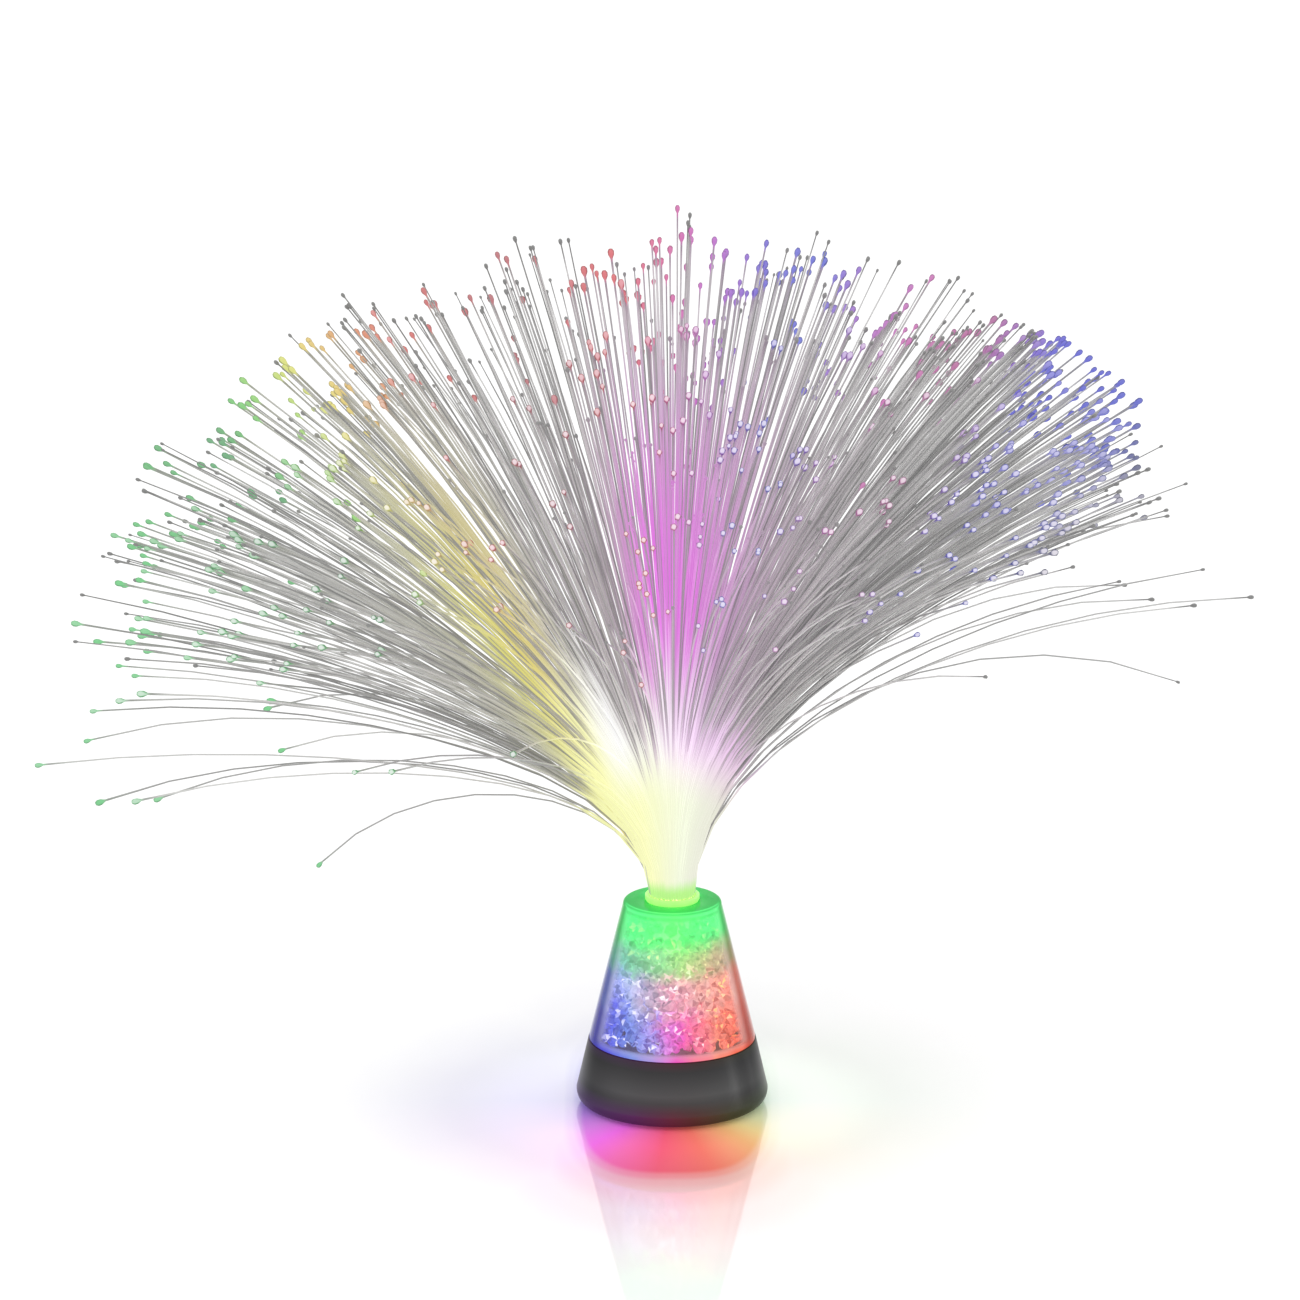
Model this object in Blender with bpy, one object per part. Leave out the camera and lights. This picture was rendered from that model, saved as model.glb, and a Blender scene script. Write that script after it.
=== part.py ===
"""Fibre optic lamp: a spray of light fibres in a clear crystal-filled cone on a black battery base.

Metres, +Z up. The lamp stands on Z = 0 with its axis on the Z axis and its front towards -Y.
Every size that can be set by itself is named below; the rest is worked out from those names.
"""

import math
import random

import bmesh
import bpy
from mathutils import Matrix, Vector

# General
FIT = 0.0003                      # gap between pieces that touch
OVERRUN = 0.0010                  # how far a cut passes the face it opens
WELD = 0.000001                   # distance under which points of a turned shape are one
ROUND_SIDES = 40                  # sides of the large round pieces
SMALL_SIDES = 16                  # sides of the small round pieces

# Battery cells, size AAA
CELL_COUNT = 3
CELL_RADIUS = 0.00525
CELL_LENGTH = 0.0445
CELL_PITCH = 0.0109
NUB_RADIUS = 0.0019
NUB_HEIGHT = 0.0010
CELL_EDGE = 0.0005

# Battery contacts
CONTACT_THICKNESS = 0.0005
CONTACT_WIDTH = 0.0070
CONTACT_HEIGHT = 0.0080
TAIL_WIDTH = 0.0020
TAIL_RISE = 0.0012
SPRING_LENGTH = 0.0026
SPRING_FOOT_RADIUS = 0.0038
SPRING_TIP_RADIUS = 0.0015
SPRING_WIRE_RADIUS = 0.00025
SPRING_TURNS = 3
SPRING_TURN_POINTS = 8

# Base plate and its battery well
FOOT_STANDOFF = 0.0009
PLATE_THICKNESS = 0.0024
PLATE_RIM = 0.0006
WELL_WALL = 0.0013
WELL_CORNER = 0.0045
WELL_CEILING = 0.0012
OPENING_LEDGE = 0.0012            # how far the plate reaches in under the ends of the cells
DOOR_LAP = 0.0010                 # how far the door overlaps the opening's edge
CORNER_STEPS = 3

# Rubber feet
FOOT_RADIUS = 0.0028
FOOT_POCKET = 0.0010
FOOT_SETBACK_Y = 0.0162
FOOT_WALL = 0.0007

# Battery door
DOOR_THICKNESS = 0.0012
DOOR_CORNER = 0.0030
DOOR_SWING = math.radians(35)
TAB_WIDTH = 0.0050
TAB_REACH = 0.0018
TAB_THICKNESS = 0.0008
TAB_SPREAD = 0.0080               # each tab's distance from the middle
RISER_THICKNESS = 0.0008
TAB_HEADROOM = 0.0016
EAR_RADIUS = 0.0028
EAR_OFFSET = 0.0022               # ear centre beyond the door's edge

# Screws
SCREW_SHANK_RADIUS = 0.0010
SCREW_HEAD_RADIUS = 0.0019
SCREW_HEAD_HEIGHT = 0.0009
PLATE_SCREW_LENGTH = 0.0090
BOARD_SCREW_LENGTH = 0.0040
DOOR_SCREW_GRIP = 0.0022          # thread of the door's screw inside its boss
HEAD_SINK = 0.0001
PLATE_SCREW_Y = 0.0100
BOSS_WALL = 0.0013
BOSS_TO_WELL = 0.0022
DOOR_BOSS_HEIGHT = 0.0060

# Slide switch
SWITCH_WIDTH = 0.0037
SWITCH_LENGTH = 0.0088
SWITCH_HEIGHT = 0.0036
SWITCH_FLOOR = 0.0012
SWITCH_SETBACK = 0.0046           # centre line of the switch beyond the well's wall
KNOB_WIDTH = 0.0020
KNOB_LENGTH = 0.0024
KNOB_TRAVEL = 0.0030
KNOB_RECESS = 0.0004              # how far the knob's end stays inside the plate's face
FINGER_RECESS_DEPTH = 0.0010
FINGER_RECESS_WIDTH = 0.0050
FINGER_RECESS_LENGTH = 0.0110

# Housing
LIP_WALL = 0.0008
BASE_FLARE = 0.0034
BASE_WIDEST_HEIGHT = 0.0055
BASE_TAPER = 0.0044
BASE_WALL = 0.0018
BASE_TOP_EDGE = 0.0005
DECK_THICKNESS = 0.0020
FLARE_STEPS = 4
SPIGOT_WALL = 0.0010
SPIGOT_HEIGHT = 0.0018

# Circuit board and what it carries
BOARD_RADIUS = 0.0200
BOARD_THICKNESS = 0.0016
BOARD_SCREW_CIRCLE = 0.0165
BOARD_SCREW_ANGLES = [math.radians(turn) for turn in (90, 210, 330)]
BOARD_BOSS_WALL = 0.0011
CHIP_SIZE = (0.0060, 0.0050, 0.0012)
CHIP_PLACE = (0.0040, -0.0050)
RESISTOR_RADIUS = 0.0010
RESISTOR_LENGTH = 0.0062
RESISTOR_OFFSET = 0.0070
CAPACITOR_RADIUS = 0.0025
CAPACITOR_HEIGHT = 0.0028
CAPACITOR_OFFSET = 0.0095

# Light-emitting diodes
FIBRE_LED_RADIUS = 0.0025
FIBRE_LED_HEIGHT = 0.0086
CRYSTAL_LED_RADIUS = 0.0015
CRYSTAL_LED_HEIGHT = 0.0053
LED_FLANGE = 0.0004
LED_FLANGE_HEIGHT = 0.0010
CRYSTAL_LED_CIRCLE = 0.0155
CRYSTAL_LED_ANGLES = [math.radians(turn) for turn in (270, 30, 150)]
DOME_STEPS = 3

# Wires
WIRE_RADIUS = 0.0006
WIRE_POINTS_PER_LEG = 3
WIRE_RISE = 0.0026
WIRE_REACH = 0.0050

# Clear cone
JOINT_STEP = 0.0002
CONE_HEIGHT = 0.0525
CONE_TOP_RADIUS = 0.0176
CONE_WALL = 0.0020
CONE_TOP_THICKNESS = 0.0020
CONE_TOP_EDGE = 0.0014
CONE_EDGE_STEPS = 3
TUBE_WALL = 0.0010

# Crystals
CRYSTAL_LAYERS = 4
CRYSTALS_PER_LAYER = 10
CRYSTAL_HALF_HEIGHT = 0.0046
CRYSTAL_NARROWING_SHARE = 0.5
CRYSTAL_OVERLAP_SHARE = 0.76
CRYSTAL_SIZE_SHARES = (0.84, 1.0)
CRYSTAL_SEED = 27

# Spray of fibres
BUNDLE_RADIUS = 0.0082
SLICES = 9
SLICE_ROWS = 6
FERRULE_WALL = 0.0008
SLEEVE_LENGTH = 0.0180
COLLAR_LIP = 0.0006
COLLAR_HEIGHT = 0.0018
COLLAR_EDGE = 0.0004
POTTING_RISE = 0.0004
FIBRE_LENGTH = 0.2500
FIBRE_RADIUS = 0.00042
LEFT_BEND_LENGTH = 0.0320
RIGHT_BEND_LENGTH = 0.0500
LEFT_LEAN = math.radians(67)
RIGHT_LEAN = math.radians(50)
FRONT_LEAN = math.radians(51)
LEFT_LEAN_POWER = 1.10
RIGHT_LEAN_POWER = 0.46
DROOP = math.radians(22)
STATION_SHARES = (0.09, 0.27, 0.58, 1.0)
LENGTH_SPREAD_SHARE = 0.13
LEAN_SPREAD_SHARE = 0.035
TURN_SPREAD_SHARE = 0.16
DROOP_SPREAD_SHARE = 0.22
STRAY_LEAN_SHARE = 0.36
STRAY_SHARE = 0.18
PATH_STEPS = 40
SPRAY_SEED = 2830

# Heights worked out from the stack of pieces
plate_bottom = FOOT_STANDOFF
plate_top = plate_bottom + PLATE_THICKNESS
cell_height = plate_top + FIT + CELL_RADIUS
ceiling_bottom = cell_height + CELL_RADIUS + FIT
ceiling_top = ceiling_bottom + WELL_CEILING
board_bottom = ceiling_top + FIT + CHIP_SIZE[2] + FIT
board_top = board_bottom + BOARD_THICKNESS
deck_top = board_top + FIT + CRYSTAL_LED_HEIGHT
deck_bottom = deck_top - DECK_THICKNESS
cone_bottom = deck_top + FIT
cone_top = cone_bottom + CONE_HEIGHT
collar_bottom = cone_top + FIT
collar_top = collar_bottom + COLLAR_HEIGHT
sleeve_bottom = collar_bottom - SLEEVE_LENGTH
potting_top = collar_top + POTTING_RISE

# Battery well, its opening and door, and the hardware beside them
row_half = CELL_PITCH * (CELL_COUNT - 1) / 2 + CELL_RADIUS
well_half_x = row_half + FIT
well_half_y = (CELL_LENGTH + SPRING_LENGTH + 2 * CONTACT_THICKNESS + 5 * FIT) / 2
well_outer_x = well_half_x + WELL_WALL
well_outer_y = well_half_y + WELL_WALL
opening_half_x = row_half + FIT / 2
opening_half_y = well_half_y - OPENING_LEDGE - CONTACT_THICKNESS - FIT
door_half_x = opening_half_x + DOOR_LAP
door_half_y = opening_half_y + DOOR_LAP
rebate_half_x = door_half_x + FIT
rebate_half_y = door_half_y + FIT
rebate_top = plate_bottom + DOOR_THICKNESS + FIT
hinge_x = -rebate_half_x
hinge_z = rebate_top + FIT / 2
ear_x = door_half_x + EAR_OFFSET
screw_hole_radius = SCREW_SHANK_RADIUS + FIT
head_hole_radius = SCREW_HEAD_RADIUS + FIT
head_hole_depth = HEAD_SINK + SCREW_HEAD_HEIGHT + FIT
boss_radius = screw_hole_radius + BOSS_WALL
plate_screw_x = well_outer_x + BOSS_TO_WELL + boss_radius
foot_x = rebate_half_x + FOOT_WALL + FIT + FOOT_RADIUS
switch_x = -well_outer_x - SWITCH_SETBACK
switch_bottom = plate_top + FIT
board_boss_radius = screw_hole_radius + BOARD_BOSS_WALL

# Widths from the plate outwards: it takes in the corners of the well and of the rebate, and all four feet
well_reach = math.hypot(well_outer_x - WELL_CORNER, well_outer_y - WELL_CORNER) + WELL_CORNER
foot_reach = math.hypot(foot_x, FOOT_SETBACK_Y) + FOOT_RADIUS
rebate_reach = math.hypot(rebate_half_x, rebate_half_y)
plate_radius = max(well_reach, foot_reach, rebate_reach) + PLATE_RIM
lip_radius = plate_radius + FIT
base_foot_radius = lip_radius + LIP_WALL
base_radius = base_foot_radius + BASE_FLARE
base_top_radius = base_radius - BASE_TAPER
cone_bottom_radius = base_top_radius - JOINT_STEP
cone_inner_bottom = cone_bottom_radius - CONE_WALL
cone_inner_top = CONE_TOP_RADIUS - CONE_WALL
ferrule_bore = BUNDLE_RADIUS + FIT
sleeve_radius = ferrule_bore + FERRULE_WALL
collar_radius = sleeve_radius + COLLAR_LIP
socket_radius = sleeve_radius + FIT
tube_radius = socket_radius + TUBE_WALL


def clear_scene():
    """Take away whatever the file opened with."""
    for item in list(bpy.data.objects):
        bpy.data.objects.remove(item, do_unlink=True)


def make_material(name, colour, roughness, metallic, transmission):
    """One Principled material with the piece's colour and finish."""
    material = bpy.data.materials.new(name)
    material.use_nodes = True
    shader = material.node_tree.nodes["Principled BSDF"]
    shader.inputs["Base Color"].default_value = (*colour, 1.0)
    shader.inputs["Roughness"].default_value = roughness
    shader.inputs["Metallic"].default_value = metallic
    shader.inputs["Transmission Weight"].default_value = transmission
    material.diffuse_color = (*colour, 1.0)
    return material


# Finishes: colour, roughness, metallic, transmission
BLACK_PLASTIC = ((0.030, 0.031, 0.032), 0.38, 0.0, 0.0)
DARK_PLASTIC = ((0.022, 0.022, 0.023), 0.50, 0.0, 0.0)
RUBBER = ((0.016, 0.016, 0.016), 0.85, 0.0, 0.0)
CLEAR_ACRYLIC = ((0.90, 0.96, 0.93), 0.06, 0.0, 0.9)
CRYSTAL = ((0.86, 0.90, 0.96), 0.10, 0.0, 0.8)
FROSTED_COLLAR = ((0.72, 0.86, 0.52), 0.35, 0.0, 0.5)
FIBRE = ((0.62, 0.62, 0.64), 0.25, 0.0, 0.4)
STEEL = ((0.60, 0.60, 0.61), 0.30, 1.0, 0.0)
NICKEL = ((0.68, 0.66, 0.62), 0.28, 1.0, 0.0)
BOARD_GREEN = ((0.020, 0.130, 0.060), 0.45, 0.0, 0.0)
SLEEVED_METAL = ((0.24, 0.25, 0.27), 0.35, 0.3, 0.0)
LED_EPOXY = ((0.88, 0.90, 0.92), 0.12, 0.0, 0.7)
RESISTOR_BODY = ((0.55, 0.42, 0.26), 0.55, 0.0, 0.0)
RED_WIRE = ((0.50, 0.025, 0.020), 0.45, 0.0, 0.0)
BLACK_WIRE = ((0.020, 0.020, 0.022), 0.45, 0.0, 0.0)
WHITE_PLASTIC = ((0.78, 0.78, 0.76), 0.45, 0.0, 0.0)


def link_object(name, data, finish, carrier=None):
    """Put a finished piece in the scene, on its carrier empty if it moves."""
    item = bpy.data.objects.new(name, data)
    bpy.context.scene.collection.objects.link(item)
    data.materials.append(make_material(name, *finish))
    if carrier is not None:
        item.parent = carrier
        item.matrix_parent_inverse = Matrix.Translation(-carrier.location)
    return item


def make_piece(name, shape, finish, carrier=None):
    """Turn a bmesh into a named piece, smooth on its round sides."""
    bmesh.ops.recalc_face_normals(shape, faces=shape.faces)
    mesh = bpy.data.meshes.new(name)
    shape.to_mesh(mesh)
    shape.free()
    mesh.shade_smooth()
    mesh.set_sharp_from_angle(angle=math.radians(35))
    return link_object(name, mesh, finish, carrier)


def make_tool(name, shape):
    """A hidden shape that only cuts or joins other pieces."""
    bmesh.ops.recalc_face_normals(shape, faces=shape.faces)
    mesh = bpy.data.meshes.new(name)
    shape.to_mesh(mesh)
    shape.free()
    item = bpy.data.objects.new(name, mesh)
    bpy.context.scene.collection.objects.link(item)
    item.hide_render = True
    item.display_type = "WIRE"
    return item


def make_carrier(name, place):
    """An empty on a joint's axis that carries the pieces moving with it."""
    carrier = bpy.data.objects.new(name, None)
    carrier.location = place
    bpy.context.scene.collection.objects.link(carrier)
    return carrier


def combine(piece, tool, operation):
    """Join a tool to a piece or cut it away."""
    modifier = piece.modifiers.new(tool.name, "BOOLEAN")
    modifier.operation = operation
    modifier.object = tool


def gather(*shapes):
    """Put several separate shapes into one."""
    whole = bmesh.new()
    for shape in shapes:
        mesh = bpy.data.meshes.new("part_of_tool")
        shape.to_mesh(mesh)
        shape.free()
        whole.from_mesh(mesh)
        bpy.data.meshes.remove(mesh)
    return whole


def box(low, high):
    """A box between two corners."""
    shape = bmesh.new()
    low, high = Vector(low), Vector(high)
    bmesh.ops.create_cube(shape, size=1.0)
    bmesh.ops.scale(shape, vec=high - low, verts=shape.verts)
    bmesh.ops.translate(shape, vec=(low + high) / 2, verts=shape.verts)
    return shape


def cylinder(radius, bottom, top, place=(0, 0), sides=SMALL_SIDES):
    """An upright cylinder."""
    shape = bmesh.new()
    bmesh.ops.create_cone(shape, cap_ends=True, segments=sides, radius1=radius, radius2=radius,
                          depth=top - bottom)
    bmesh.ops.translate(shape, vec=(*place, (top + bottom) / 2), verts=shape.verts)
    return shape


def lathe(profile, sides, closed=True):
    """Turn a profile of (radius, height) points round the Z axis."""
    shape = bmesh.new()
    points = [shape.verts.new((radius, 0, height)) for radius, height in profile]
    edges = [shape.edges.new(pair) for pair in zip(points, points[1:])]
    if closed:
        edges.append(shape.edges.new((points[-1], points[0])))
    bmesh.ops.spin(shape, geom=points + edges, cent=(0, 0, 0), axis=(0, 0, 1),
                   angle=math.tau, steps=sides, use_merge=True)
    bmesh.ops.remove_doubles(shape, verts=shape.verts, dist=WELD)
    bmesh.ops.recalc_face_normals(shape, faces=shape.faces)
    return shape


def prism(outline, bottom, top):
    """Extrude a flat outline of (x, y) points upwards."""
    shape = bmesh.new()
    face = shape.faces.new([shape.verts.new((x, y, bottom)) for x, y in outline])
    raised = bmesh.ops.extrude_face_region(shape, geom=[face])["geom"]
    corners = [item for item in raised if isinstance(item, bmesh.types.BMVert)]
    bmesh.ops.translate(shape, vec=(0, 0, top - bottom), verts=corners)
    return shape


def stood_up(outline, near, far):
    """Extrude an outline of (x, z) points along Y, from one y to the other."""
    shape = prism(outline, near, far)
    swap_y_and_z = Matrix(((1, 0, 0, 0), (0, 0, 1, 0), (0, 1, 0, 0), (0, 0, 0, 1)))
    bmesh.ops.transform(shape, matrix=swap_y_and_z, verts=shape.verts)
    return shape


def rounded_rectangle(half_x, half_y, corner, steps=CORNER_STEPS):
    """Outline of a rectangle with round corners, anticlockwise."""
    outline = []
    for quarter, (sign_x, sign_y) in enumerate([(1, 1), (-1, 1), (-1, -1), (1, -1)]):
        for step in range(steps + 1):
            turn = math.radians(90) * (quarter + step / steps)
            outline.append((sign_x * (half_x - corner) + corner * math.cos(turn),
                            sign_y * (half_y - corner) + corner * math.sin(turn)))
    return outline


def door_outline(half_x, half_y):
    """Outline of the battery door or its rebate: round corners by the screw, square ones by the hinge."""
    rounded = rounded_rectangle(half_x, half_y, DOOR_CORNER)
    corner_points = CORNER_STEPS + 1
    return rounded[:corner_points] + [(-half_x, half_y), (-half_x, -half_y)] + rounded[-corner_points:]


def arc(centre, radii, start, end, steps):
    """Points of an elliptical arc in a profile, its first left out."""
    points = []
    for step in range(1, steps + 1):
        turn = start + (end - start) * step / steps
        points.append((centre[0] + radii[0] * math.cos(turn), centre[1] + radii[1] * math.sin(turn)))
    return points


def on_circle(radius, turn):
    """A point of a circle round the axis."""
    return (radius * math.cos(turn), radius * math.sin(turn))


def smooth_route(stops, per_leg):
    """Points on a smooth curve through the given stops."""
    stops = [Vector(stop) for stop in stops]
    route = [stops[0]]
    for index in range(len(stops) - 1):
        before = stops[max(index - 1, 0)]
        start, end = stops[index], stops[index + 1]
        after = stops[min(index + 2, len(stops) - 1)]
        for step in range(1, per_leg + 1):
            t = step / per_leg
            bend = (2 * start + (end - before) * t
                    + (2 * before - 5 * start + 4 * end - after) * t ** 2
                    + (3 * start - before - 3 * end + after) * t ** 3)
            route.append(bend / 2)
    return route


def make_tube(name, points, radius, resolution, finish, carrier=None):
    """A round wire through the points, closed at both ends."""
    curve = bpy.data.curves.new(name, "CURVE")
    curve.dimensions = "3D"
    curve.bevel_depth = radius
    curve.bevel_resolution = resolution
    curve.use_fill_caps = True
    spline = curve.splines.new("POLY")
    spline.points.add(len(points) - 1)
    for knot, point in zip(spline.points, points):
        knot.co = (*point, 1.0)
    return link_object(name, curve, finish, carrier)


def screw(name, place, head_bottom, length, finish=STEEL, carrier=None):
    """A pan head screw, head down, driven upwards."""
    head_top = head_bottom + SCREW_HEAD_HEIGHT
    profile = [(0, head_bottom), (SCREW_HEAD_RADIUS - HEAD_SINK, head_bottom),
               (SCREW_HEAD_RADIUS, head_bottom + HEAD_SINK), (SCREW_HEAD_RADIUS, head_top),
               (SCREW_SHANK_RADIUS, head_top), (SCREW_SHANK_RADIUS, head_top + length - SCREW_SHANK_RADIUS),
               (0, head_top + length)]
    shape = lathe(profile, SMALL_SIDES * 5 // 8, closed=False)
    bmesh.ops.translate(shape, vec=(*place, 0), verts=shape.verts)
    return make_piece(name, shape, finish, carrier)


def cone_inside(height):
    """Inner radius of the cone at a height."""
    share = (height - cone_bottom) / CONE_HEIGHT
    return cone_inner_bottom + (cone_inner_top - cone_inner_bottom) * share


def housing_profile():
    """Half section of the black housing: rounded-under rim, tapered wall, deck and spigot."""
    flare_height = BASE_WIDEST_HEIGHT - plate_bottom
    inner_flare = base_radius - BASE_WALL - lip_radius
    spigot_outer = cone_inside(deck_top + SPIGOT_HEIGHT) - FIT
    hole = FIBRE_LED_RADIUS + FIT
    outside = [(base_foot_radius, plate_bottom)]
    outside += arc((base_foot_radius, BASE_WIDEST_HEIGHT), (BASE_FLARE, flare_height),
                   math.radians(-90), 0, FLARE_STEPS)
    outside += [(base_top_radius, deck_top - BASE_TOP_EDGE), (base_top_radius - BASE_TOP_EDGE, deck_top)]
    deck = [(spigot_outer, deck_top), (spigot_outer, deck_top + SPIGOT_HEIGHT),
            (spigot_outer - SPIGOT_WALL, deck_top + SPIGOT_HEIGHT), (spigot_outer - SPIGOT_WALL, deck_top),
            (hole, deck_top), (hole, deck_bottom)]
    inside = [(base_top_radius - BASE_WALL, deck_bottom)]
    inside += [(lip_radius + inner_flare, BASE_WIDEST_HEIGHT)]
    inside += arc((lip_radius, BASE_WIDEST_HEIGHT), (inner_flare, BASE_WIDEST_HEIGHT - plate_top),
                  0, math.radians(-90), FLARE_STEPS)
    inside += [(lip_radius, plate_bottom)]
    return outside + deck + inside


def plate_screw_places():
    """Where the base plate's four screws stand."""
    return [(side * plate_screw_x, end * PLATE_SCREW_Y) for side in (-1, 1) for end in (-1, 1)]


def make_housing():
    """Black housing with its screw bosses and the holes of its deck."""
    housing = make_piece("base_housing", lathe(housing_profile(), ROUND_SIDES), BLACK_PLASTIC)
    inside_deck = deck_bottom + DECK_THICKNESS / 2
    posts = [cylinder(boss_radius, plate_top + FIT, inside_deck, place) for place in plate_screw_places()]
    posts += [cylinder(board_boss_radius, board_top + FIT, inside_deck, on_circle(BOARD_SCREW_CIRCLE, turn))
              for turn in BOARD_SCREW_ANGLES]
    combine(housing, make_tool("join_bosses", gather(*posts)), "UNION")
    pilot_top = plate_top + PLATE_SCREW_LENGTH
    pilots = [cylinder(screw_hole_radius, plate_bottom, pilot_top, place, SMALL_SIDES // 2)
              for place in plate_screw_places()]
    pilots += [cylinder(screw_hole_radius, board_top, inside_deck, on_circle(BOARD_SCREW_CIRCLE, turn),
                        SMALL_SIDES // 2)
               for turn in BOARD_SCREW_ANGLES]
    pilots += [cylinder(CRYSTAL_LED_RADIUS + FIT, deck_bottom - OVERRUN, deck_top + OVERRUN,
                        on_circle(CRYSTAL_LED_CIRCLE, turn), SMALL_SIDES // 2)
               for turn in CRYSTAL_LED_ANGLES]
    combine(housing, make_tool("cut_housing_holes", gather(*pilots)), "DIFFERENCE")


def make_base_plate():
    """Bottom cover with its battery well, door rebate, foot pockets, screw holes and switch slot."""
    plate = make_piece("base_plate", cylinder(plate_radius, plate_bottom, plate_top, sides=ROUND_SIDES),
                       DARK_PLASTIC)

    well = prism(rounded_rectangle(well_outer_x, well_outer_y, WELL_CORNER),
                 plate_top - PLATE_THICKNESS / 2, ceiling_top)
    combine(plate, make_tool("join_battery_well", well), "UNION")
    cavity = prism(rounded_rectangle(well_half_x, well_half_y, WELL_CORNER - WELL_WALL),
                   plate_top, ceiling_bottom)
    combine(plate, make_tool("cut_well_cavity", cavity), "DIFFERENCE")
    opening = box((-opening_half_x, -opening_half_y, plate_bottom - OVERRUN),
                  (opening_half_x, opening_half_y, plate_top + OVERRUN))
    combine(plate, make_tool("cut_battery_opening", opening), "DIFFERENCE")

    below = plate_bottom - OVERRUN
    pockets = [prism(door_outline(rebate_half_x, rebate_half_y), below, rebate_top)]
    pockets += [cylinder(FOOT_RADIUS + FIT, below, plate_bottom + FOOT_POCKET, place)
                for place in foot_places()]
    pockets += [cylinder(head_hole_radius, below, plate_bottom + head_hole_depth, place)
                for place in plate_screw_places()]
    half_width, half_length = FINGER_RECESS_WIDTH / 2, FINGER_RECESS_LENGTH / 2
    recess = [(x + switch_x, y - KNOB_TRAVEL / 2)
              for x, y in rounded_rectangle(half_width, half_length, half_width - FIT)]
    pockets.append(prism(recess, below, plate_bottom + FINGER_RECESS_DEPTH))
    combine(plate, make_tool("cut_plate_pockets", gather(*pockets)), "DIFFERENCE")

    above = plate_top + FIT / 2
    slot_x, slot_back, slot_front = knob_slot()
    holes = [cylinder(screw_hole_radius, plate_bottom, above, place, SMALL_SIDES // 2)
             for place in plate_screw_places()]
    holes.append(cylinder(EAR_RADIUS + FIT, below, above, (ear_x, 0)))
    holes.append(box((switch_x - slot_x, slot_front, plate_bottom), (switch_x + slot_x, slot_back, above)))
    combine(plate, make_tool("cut_plate_holes", gather(*holes)), "DIFFERENCE")

    boss_bottom = plate_top + FIT
    boss_top = boss_bottom + DOOR_BOSS_HEIGHT
    boss = cylinder(boss_radius, boss_bottom, boss_top, (ear_x, 0))
    combine(plate, make_tool("join_door_boss", boss), "UNION")
    web = box((well_half_x + WELL_WALL / 2, -boss_radius / 2, boss_bottom),
              (ear_x, boss_radius / 2, boss_top))
    combine(plate, make_tool("join_boss_web", web), "UNION")
    small_cuts = [cylinder(screw_hole_radius, boss_bottom - OVERRUN, boss_top - WELL_WALL, (ear_x, 0),
                           SMALL_SIDES // 2)]
    for side in (-1, 1):
        near, far = side * TAB_SPREAD - TAB_WIDTH / 2 - FIT, side * TAB_SPREAD + TAB_WIDTH / 2 + FIT
        small_cuts.append(box((hinge_x - TAB_REACH - FIT, near, rebate_top),
                              (-opening_half_x + OVERRUN, far, tab_top() + TAB_HEADROOM)))
        tail_x, tail_half = side * CELL_PITCH, TAIL_WIDTH / 2 + FIT
        near, far = contact_span(side)
        small_cuts.append(box((tail_x - tail_half, near - FIT, ceiling_bottom - FIT),
                              (tail_x + tail_half, far + FIT, ceiling_top + OVERRUN)))
    combine(plate, make_tool("cut_tab_and_tail_slots", gather(*small_cuts)), "DIFFERENCE")


def foot_places():
    """Where the four rubber feet sit."""
    return [(side * foot_x, end * FOOT_SETBACK_Y) for side in (-1, 1) for end in (-1, 1)]


def make_feet():
    """Rubber feet pressed into the plate's pockets."""
    for number, place in enumerate(foot_places(), 1):
        foot = cylinder(FOOT_RADIUS, 0, plate_bottom + FOOT_POCKET - FIT, place)
        make_piece(f"rubber_foot_{number}", foot, RUBBER)


def make_plate_screws():
    """Screws that hold the base plate up against the housing's bosses."""
    for number, place in enumerate(plate_screw_places(), 1):
        screw(f"plate_screw_{number}", place, plate_bottom + HEAD_SINK, PLATE_SCREW_LENGTH - HEAD_SINK)


def cell_places():
    """Each cell's x, and the end its spring is on: -1 front, 1 back."""
    middle = (CELL_COUNT - 1) / 2
    return [((number - middle) * CELL_PITCH, 1 if number % 2 else -1) for number in range(CELL_COUNT)]


def make_cells():
    """Cells lying side by side, each turned round from the one before."""
    for number, (x, spring_end) in enumerate(cell_places(), 1):
        shoulder = CELL_LENGTH - NUB_HEIGHT
        profile = [(0, 0), (CELL_RADIUS - CELL_EDGE, 0), (CELL_RADIUS, CELL_EDGE),
                   (CELL_RADIUS, shoulder - CELL_EDGE), (CELL_RADIUS - CELL_EDGE, shoulder),
                   (NUB_RADIUS, shoulder), (NUB_RADIUS, CELL_LENGTH), (0, CELL_LENGTH)]
        shape = lathe(profile, SMALL_SIDES, closed=False)
        turn = Matrix.Rotation(math.radians(90) * spring_end, 4, "X")
        start = well_half_y - CONTACT_THICKNESS - SPRING_LENGTH - 3 * FIT
        place = Matrix.Translation((x, spring_end * start, cell_height))
        bmesh.ops.transform(shape, matrix=place @ turn, verts=shape.verts)
        make_piece(f"battery_cell_{number}", shape, SLEEVED_METAL)


def contact_span(end):
    """The two faces of a contact plate at the front (-1) or back (1) end of the well."""
    outer = end * (well_half_y - FIT)
    inner = end * (well_half_y - FIT - CONTACT_THICKNESS)
    return min(outer, inner), max(outer, inner)


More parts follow.
